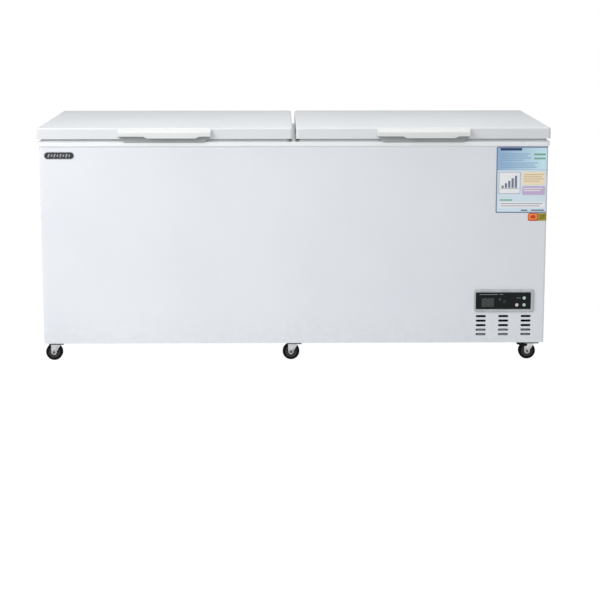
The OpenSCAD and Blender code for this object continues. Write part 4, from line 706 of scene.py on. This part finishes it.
def stick(name, patches, finishName, sheet, below, thick):
    # patches are (left, right, low, high, corner) in millimetres from the sheet's corner; below counts layers
    grids = []
    for numbers in patches:
        x0, x1, z0, z1, corner = np.array(numbers) * mm
        grids += patch(sheet["left"] + x0, sheet["left"] + x1, sheet["low"] + z0, sheet["low"] + z1, corner,
                       below * bend["layer"], thick)
    makePiece(name, grids, finishName, "cabinet", sharp=30)


def textLines(x0, ends, top, pitch, thick):
    # bars that stand for rows of print: each lies a pitch below the last one
    return [(x0, end, top - i * pitch - thick, top - i * pitch, 0) for i, end in enumerate(ends)]


# The label; each layer: its name, its finish, how many layers lie below, and its patches in millimetres
label = dict(left=731 * mm, low=555.5 * mm, width=190, height=242.5, edge=4.5)
w, h, e = label["width"], label["height"], label["edge"]
chartBars = [(20 + 12 * i, 28 + 12 * i, 92, 100 + 9 * i, 0) for i in range(5)]
labelLayers = [
    ("label_film", "labelBorder", 0, [(0, w, 0, h, 5)]),
    ("label_sky", "labelSky", 1, [(e, w - e, 158, h - e, 3)]),
    ("label_mist", "labelMist", 1, [(e, w - e, e, 157, 3)]),
    ("label_header", "labelNavy", 2, [(14, 92, 228, 237, 1), (128, 176, 8, 12, 0), (92, 116, 8, 12, 0)]),
    ("label_lines", "labelBlue", 2, textLines(14, (120, 112, 126, 96), 217, 7.5, 3)
     + textLines(14, (150, 138, 146), 184, 7.5, 3)),
    ("label_green", "labelGreen", 2, [(136, 178, 211, 217, 1), (136, 178, 196, 202, 1), (14, 60, 45, 50, 1)]),
    ("label_cream", "labelCream", 2, [(96, 178, 102, 150, 2)]),
    ("label_tan", "labelTan", 3, textLines(100, (172, 166, 174, 158), 142, 8, 3.2)),
    ("label_lilac", "labelLilac", 2, [(96, 178, 66, 98, 2)]),
    ("label_frame", "labelSlate", 2, [(10, 88, 70, 150, 2)]),
    ("label_box", "labelWhite", 3, [(11.5, 86.5, 71.5, 148.5, 1.5), (100, 170, 88, 91, 0),
                                    (100, 160, 80, 83, 0)]),
    ("label_bars", "labelSlate", 4, chartBars + [(16, 82, 88.5, 90, 0)]),
    ("label_foot", "labelWhite", 2, [(14, 178, 20, 40, 1)]),
    ("label_foot_lines", "labelSlate", 3, textLines(18, (170, 160), 35, 8, 2.2))]
for name, finishName, below, patches in labelLayers:
    stick(name, patches, finishName, label, below, bend["film"] + (bend["layer"] / 2 if below else 0))

# The tag below the label; each layer also has its share of the film's thickness
tag = dict(left=849 * mm, low=526 * mm)
tagLayers = [("tag_rim", "tagRed", 0, 1, [(0, 38, 0, 29, 7)]),
             ("tag_orange", "tagOrange", 1, 1, [(2.2, 35, 4.5, 26, 6)]),
             ("tag_olive", "tagOlive", 0, 0.7, [(34, 72, 0.4, 28.6, 2)]),
             ("tag_spot", "tagRed", 2, 1, [(10, 28, 9, 21, 6)]),
             ("tag_bars", "tagDark", 1, 1, [(44, 62, 19, 22, 0), (44, 62, 13, 16, 0), (44, 56, 7, 10, 0)])]
for name, finishName, below, share, patches in tagLayers:
    stick(name, patches, finishName, tag, below, share * bend["film"])
print("label and tag made")

# Badge: a domed dark plate in a bright rim, with a plain row of slanted bars
badge = dict(left=-901 * mm, low=754 * mm, width=109 * mm, height=27 * mm, rim=2.6 * mm, thick=2.4 * mm,
             steps=10, bars=8, barWidth=5.4 * mm, barPitch=10.6 * mm, barHeight=13 * mm, barEdge=0.7 * mm,
             slant=0.3, shorter=0.35)
badgeMiddle = np.array([badge["left"] + badge["width"] / 2, frontY, badge["low"] + badge["height"] / 2])
badgeRound = badge["height"] / 2 - 0.01 * mm


def badgePlate(levels):
    # rings of the badge's outline; each level is (share of the rim drawn in, share of the thickness out)
    scaled = [(None if inset is None else inset * badge["rim"], rise * badge["thick"])
              for inset, rise in levels]
    rings = plateGrid(badge["width"], badge["height"], badgeRound, scaled, badge["steps"])
    return onFront(rings, badgeMiddle)


def slantedBar(i):
    # an upright plate whose top is pushed sideways in step with its height; every other one is shorter
    middle = badgeMiddle + xAxis * (i - (badge["bars"] - 1) / 2) * badge["barPitch"]
    levels = [(0, badge["thick"] * 0.6), (0, badge["thick"] * 0.95), (badge["barEdge"], badge["thick"] * 1.1),
              (None, badge["thick"] * 1.12)]
    grid = plateGrid(badge["barWidth"], badge["barHeight"] * (1 - badge["shorter"] * (i % 2)),
                     badge["barWidth"] * 0.3, levels, 3)
    grid[..., 0] += grid[..., 1] * badge["slant"]
    return onFront(grid, middle)


rimGrid = badgePlate([(0, 0), (0, 0.6), (0.3, 1), (0.7, 1), (1, 0.5), (1, 0)])
fieldGrid = badgePlate([(1, 0), (1, 0.55), (1.8, 0.7), (3, 0.78), (None, 0.82)])
bars = [(slantedBar(i), False, True) for i in range(badge["bars"])]
makePiece("badge_rim", [(rimGrid, True, True)], "badgeSilver", "cabinet", sharp=50)
makePiece("badge_field", [(fieldGrid, False, True)], "badgeBlack", "cabinet", sharp=50)
makePiece("badge_bars", bars, "badgePrint", "cabinet")
print("badge made")

# Lint that has settled behind the two lower rows of slots
slot = dict(firstX=849.8 * mm, pitchX=82.4 * mm, columns=3, firstZ=104 * mm, pitchZ=17 * mm, rows=2,
            half=17 * mm, lowEdge=3.9 * mm, behind=1.3 * mm, deep=9 * mm, tall=5.2 * mm, under=0.3 * mm,
            rough=0.56, steps=45, acrossSteps=9, seed=11)


def lintGrid(x, z, numbers):
    # a heap: its height over the slot's lower edge follows half a sine across its depth, dies away at both
    # ends, and is broken up by fixed random numbers
    along = np.linspace(-1, 1, slot["steps"])[:, None]
    across = np.linspace(0, np.pi, slot["acrossSteps"])[None, :]
    rough = 1 - slot["rough"] / 2 + slot["rough"] * numbers.random((slot["steps"], slot["acrossSteps"]))
    rise = slot["tall"] * np.sin(across) * np.sqrt(1 - along ** 8) * rough
    y = frontY + slot["behind"] + slot["deep"] * across / np.pi + 0 * rise
    top = np.stack([x + slot["half"] * along + 0 * rise, y, z - slot["lowEdge"] + rise], 2)
    bottom = top[:, -2:0:-1] * np.array([1, 1, 0]) + np.array([0, 0, z - slot["lowEdge"] - slot["under"]])
    return np.concatenate([top, bottom], 1)


numbers = np.random.default_rng(slot["seed"])
lint = [(lintGrid(slot["firstX"] - i * slot["pitchX"], slot["firstZ"] + j * slot["pitchZ"], numbers),
         False, True) for i in range(slot["columns"]) for j in range(slot["rows"])]
makePiece("slot_lint", lint, "slotLint", "cabinet", sharp=70)
print("lint made")

# Control panel, in millimetres: a frame whose ridge runs from the outer edge, 0, to the opening, 1, and a tub
windowLow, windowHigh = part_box("control_window")
bezelLow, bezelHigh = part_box("control_bezel")
bezel = dict(corner=8, opening=2, gap=0.25, tubWide=6, tubWall=2, tubCorner=2, speck=0.02, steps=8,
             ridge=[(0, 0), (0, 2.6), (0.05, 4.0), (0.16, 5.6), (0.3, 6.6), (0.42, 7.0), (0.56, 6.8),
                    (0.78, 5.4), (0.95, 4.3), (1, 3.9), (1, 0)])


def ringBetween(outer, inner, levels):
    # rings from one rounded rectangle to another: outer * (1 - share) + inner * share, each at its own height
    shapes = [outline(width, height, corner, bezel["steps"])[0] + np.array([x, z])
              for x, z, width, height, corner in (outer, inner)]
    share, rise = np.array(levels).T
    flat = shapes[0][None] * (1 - share[:, None, None]) + shapes[1][None] * share[:, None, None]
    return np.concatenate([flat, np.broadcast_to(rise[:, None, None], flat.shape[:2] + (1,))], 2)


def rectangleOf(low, high, grow, corner):
    # a box seen from the front and made larger all round: middle x and z, width, height, corner
    return ((low.x + high.x) / 2 / mm, (low.z + high.z) / 2 / mm, (high.x - low.x) / mm + 2 * grow,
            (high.z - low.z) / mm + 2 * grow, corner)


frameRing = ringBetween(rectangleOf(bezelLow, bezelHigh, 0, bezel["corner"]),
                        rectangleOf(windowLow, windowHigh, bezel["gap"], bezel["opening"]), bezel["ridge"])
tubBack = -(bezelHigh.y - frontY) / mm
tubFloor = tubBack + bezel["tubWall"]
tubOuter = rectangleOf(windowLow, windowHigh, bezel["tubWide"] - bezel["tubWall"], bezel["tubCorner"])
tubInner = (*tubOuter[:2], tubOuter[2] - 2 * bezel["tubWall"], tubOuter[3] - 2 * bezel["tubWall"],
            bezel["tubCorner"])
tubMiddle = (*tubOuter[:2], bezel["speck"], bezel["speck"], bezel["speck"] / 4)
tubRings = np.concatenate([ringBetween(tubOuter, tubInner, [(1, 0), (0, 0), (0, tubBack)]),
                           ringBetween(tubOuter, tubMiddle, [(1, tubBack)]),
                           ringBetween(tubInner, tubMiddle, [(1, tubFloor), (0, tubFloor)])])
origin = np.array([0, frontY, 0])
makePiece("bezel_frame", [(onFront(frameRing * mm, origin), True, True)], "bezelSilver", "cabinet",
          ["control_bezel"], sharp=50)
makePiece("bezel_tub", [(onFront(tubRings * mm, origin), True, True)], "bezelSilver", "cabinet",
          sharp=50)

# Prints on the window, from its middle: unlit digits on a faint field, a star, a ring of dashes, three rules
windowMiddle = np.array([(windowLow.x + windowHigh.x) / 2, windowLow.y, (windowLow.z + windowHigh.z) / 2])
prints = dict(thick=0.12 * mm, cornerSteps=3)
digits = dict(at=(-57 * mm, -6 * mm), width=15 * mm, height=25 * mm, pitch=22 * mm, stroke=3.4 * mm,
              acrossCut=5.1 * mm, uprightCut=4.42 * mm, corner=1.53 * mm, lean=0.08,
              field=(46 * mm, 33 * mm, 1.5 * mm), behind=0.06 * mm)
star = dict(at=(-13 * mm, 6 * mm), arm=11 * mm, thick=1.0 * mm, corner=0.45 * mm, branchAt=3.63 * mm,
            branchTurn=0.9, branchOut=0.99 * mm, branch=2.2 * mm, branchThick=0.8 * mm,
            branchCorner=0.35 * mm)
dashes = dict(at=(4 * mm, -2 * mm), count=8, radius=3.85 * mm, length=2.75 * mm, thick=1.1 * mm,
              corner=0.5 * mm)
rules = [(-54, 24, 68, 1.3, 0.6), (55, 11, 16, 1.0, 0.4), (-8, 24, 14, 1.3, 0.6)]


def printAt(x, z, width, height, corner, lean=0.0, turn=0.0):
    # a thin plate, turned by an angle and then pushed sideways by lean * height
    levels = [(0, 0), (0, prints["thick"]), (None, prints["thick"])]
    grid = plateGrid(width, height, corner, levels, prints["cornerSteps"])
    c, s = math.cos(turn), math.sin(turn)
    gx, gz = x + grid[..., 0] * c - grid[..., 1] * s, z + grid[..., 0] * s + grid[..., 1] * c
    grid[..., 0], grid[..., 1] = gx + gz * lean, gz
    return (onFront(grid, windowMiddle), False, True)


def digitSegments(x, z):
    # seven bars of an unlit digit: three across, and four upright between them
    wide, tall, stroke, corner = (digits[key] for key in ("width", "height", "stroke", "corner"))
    across = [printAt(x, z + k * tall / 2, wide - digits["acrossCut"], stroke, corner, digits["lean"])
              for k in (-1, 0, 1)]
    upright = [printAt(x + i * wide / 2, z + k * tall / 4, stroke, tall / 2 - digits["uprightCut"], corner,
                       digits["lean"]) for i in (-1, 1) for k in (-1, 1)]
    return across + upright


def pointAt(start, turn, distance):
    # the point at a distance from the start, in the direction of an angle
    return start[0] + math.cos(turn) * distance, start[1] + math.sin(turn) * distance


digitX, digitZ = digits["at"]
field = printAt(digitX, digitZ, *digits["field"])
field[0][..., 1] += digits["behind"]
segments = [grid for i in (-0.5, 0.5) for grid in digitSegments(digitX + i * digits["pitch"], digitZ)]
signs = [printAt(*star["at"], star["arm"], star["thick"], star["corner"], turn=math.radians(60 * k))
         for k in range(3)]
for k in range(6):
    turn = math.radians(60 * k)
    tip = pointAt(star["at"], turn, star["branchAt"])
    for way in (turn - star["branchTurn"], turn + star["branchTurn"]):
        signs.append(printAt(*pointAt(tip, way, star["branchOut"]), star["branch"], star["branchThick"],
                             star["branchCorner"], turn=way))
for k in range(dashes["count"]):
    turn = 2 * math.pi * k / dashes["count"]
    signs.append(printAt(*pointAt(dashes["at"], turn, dashes["radius"]), dashes["length"], dashes["thick"],
                         dashes["corner"], turn=turn + math.pi / 2))
makePiece("display_field", [field], "ghostField", "cabinet", sharp=30)
makePiece("display_segments", segments, "ghostPrint", "cabinet", sharp=30)
makePiece("window_signs", signs, "iconPrint", "cabinet", sharp=30)
ruleGrids = [printAt(*(np.array(rule) * mm)) for rule in rules]
makePiece("window_rules", ruleGrids, "linePrint", "cabinet", sharp=30)

# Button caps, in millimetres: turned, slightly hollowed on top, with a collar and a stem
cap = dict(steps=40, stem=2.5, stemEdge=0.1,
           profile=[(0, 0.35), (3.4, 0.22), (4.8, 0.0), (5.5, 0.08), (5.85, 0.35), (6, 0.8), (6, 3.85),
                    (7.5, 3.9), (7.5, 5.0), (2.5, 5.1)])
buttonFinish = {"button_up": "coolButton", "button_down": "coolButton", "button_set": "warmButton"}
for name, finishName in buttonFinish.items():
    low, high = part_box(name)
    deep = (high.y - low.y) / mm
    profile = np.array(cap["profile"] + [(cap["stem"], deep - cap["stemEdge"]), (0, deep)])
    centre = np.array([(low.x + high.x) / 2, low.y, (low.z + high.z) / 2])
    turned = lathe(profile * mm, centre, yAxis, xAxis, cap["steps"])
    makePiece(f"{name}_cap", [(turned, True, False)], finishName, name, [name], sharp=45)
print("control panel made")

# Floor and room: both are plain white where they are seen directly, and light the freezer less than that
studio = dict(floorHalf=40.0, floorDrop=0.0003, floorGlow=0.86, floorLevel=1.12, floorTone=0.82,
              frontLight=1.0, backLight=0.3, aboveShare=0.64)
floorCorners = [(x * studio["floorHalf"], y * studio["floorHalf"], -studio["floorDrop"])
                for x, y in ((-1, -1), (1, -1), (1, 1), (-1, 1))]
floorMesh = bpy.data.meshes.new("floor")
floorMesh.from_pydata(floorCorners, [], [(0, 1, 2, 3)])
floor = bpy.data.objects.new("floor", floorMesh)
scene.collection.objects.link(floor)


def seenDirectly(tree):
    # 1 for rays from the camera, or off gloss or through glass, else 0
    path = addNode(tree, "ShaderNodeLightPath").outputs
    first = combine(tree, "MAXIMUM", path["Is Camera Ray"], path["Is Glossy Ray"])
    return combine(tree, "MAXIMUM", first, path["Is Transmission Ray"])


floorMaterial = bpy.data.materials.new("paleFloor")
floorMaterial.use_nodes = True
tree = floorMaterial.node_tree
tree.nodes.remove(tree.nodes["Principled BSDF"])
matt = addNode(tree, "ShaderNodeBsdfDiffuse", {"Color": (studio["floorTone"],) * 3 + (1,)})
glow = addNode(tree, "ShaderNodeEmission", {"Color": (1, 1, 1, 1), "Strength": studio["floorLevel"]})
share = combine(tree, "MULTIPLY", seenDirectly(tree), studio["floorGlow"])
blend = addNode(tree, "ShaderNodeMixShader", {0: share, 1: matt.outputs[0], 2: glow.outputs[0]})
tree.links.new(blend.outputs[0], tree.nodes["Material Output"].inputs["Surface"])
floorMesh.materials.append(floorMaterial)
world = bpy.data.worlds.new("studio")
scene.world = world
world.use_nodes = True
tree = world.node_tree

# The room's light is brighter in front than behind, and darker above
way = addNode(tree, "ShaderNodeSeparateXYZ", {0: addNode(tree, "ShaderNodeTexCoord").outputs["Generated"]})
across = remap(tree, way.outputs["Y"], -1.0, 1.0, studio["frontLight"], studio["backLight"])
above = remap(tree, way.outputs["Z"], 0.0, 1.0, 1.0, studio["aboveShare"])
level = remap(tree, seenDirectly(tree), 0.0, 1.0, combine(tree, "MULTIPLY", across, above), 1.0)
tree.links.new(level, tree.nodes["Background"].inputs["Strength"])
tree.nodes["Background"].inputs["Color"].default_value = (1, 1, 1, 1)


def softLamp(name, place, aim, width, height, watts):
    # a rectangle of light at a place, turned so that its back axis points away from the aim
    lamp = bpy.data.lights.new(name, "AREA")
    lamp.shape, lamp.size, lamp.size_y, lamp.energy = "RECTANGLE", width, height, watts
    holder = bpy.data.objects.new(name, lamp)
    holder.location = place
    holder.rotation_euler = (Vector(aim) - Vector(place)).to_track_quat("-Z", "Y").to_euler()
    scene.collection.objects.link(holder)


lamps = {"keyLamp": dict(place=(-2.0, -2.2, 2.0), aim=(-0.7, -0.3, 0.55), width=1.6, height=1.2, watts=34.5),
         "topLamp": dict(place=(0.1, -0.38, 1.8), aim=(0.1, -0.36, 0.85), width=2.6, height=0.3, watts=7.0)}
for name, look in lamps.items():
    softLamp(name, **look)

# Camera: the viewpoint of the photograph, with angles in degrees and places in metres
photo = dict(lens=91.54, sensor=36.0, pitch=9.0, turn=-0.711, shift=-0.142, place=(-0.047, -5.81, 1.416),
             reach=200)
camera = bpy.data.objects.new("camera", bpy.data.cameras.new("camera"))
camera.data.lens, camera.data.sensor_width = photo["lens"], photo["sensor"]
camera.data.shift_y = photo["shift"]
camera.data.clip_end = photo["reach"]
camera.location = photo["place"]
camera.rotation_euler = (math.radians(90 - photo["pitch"]), 0, math.radians(photo["turn"]))
scene.collection.objects.link(camera)
scene.camera = camera
scene.view_settings.view_transform = "Standard"
print("floor, light and camera made")
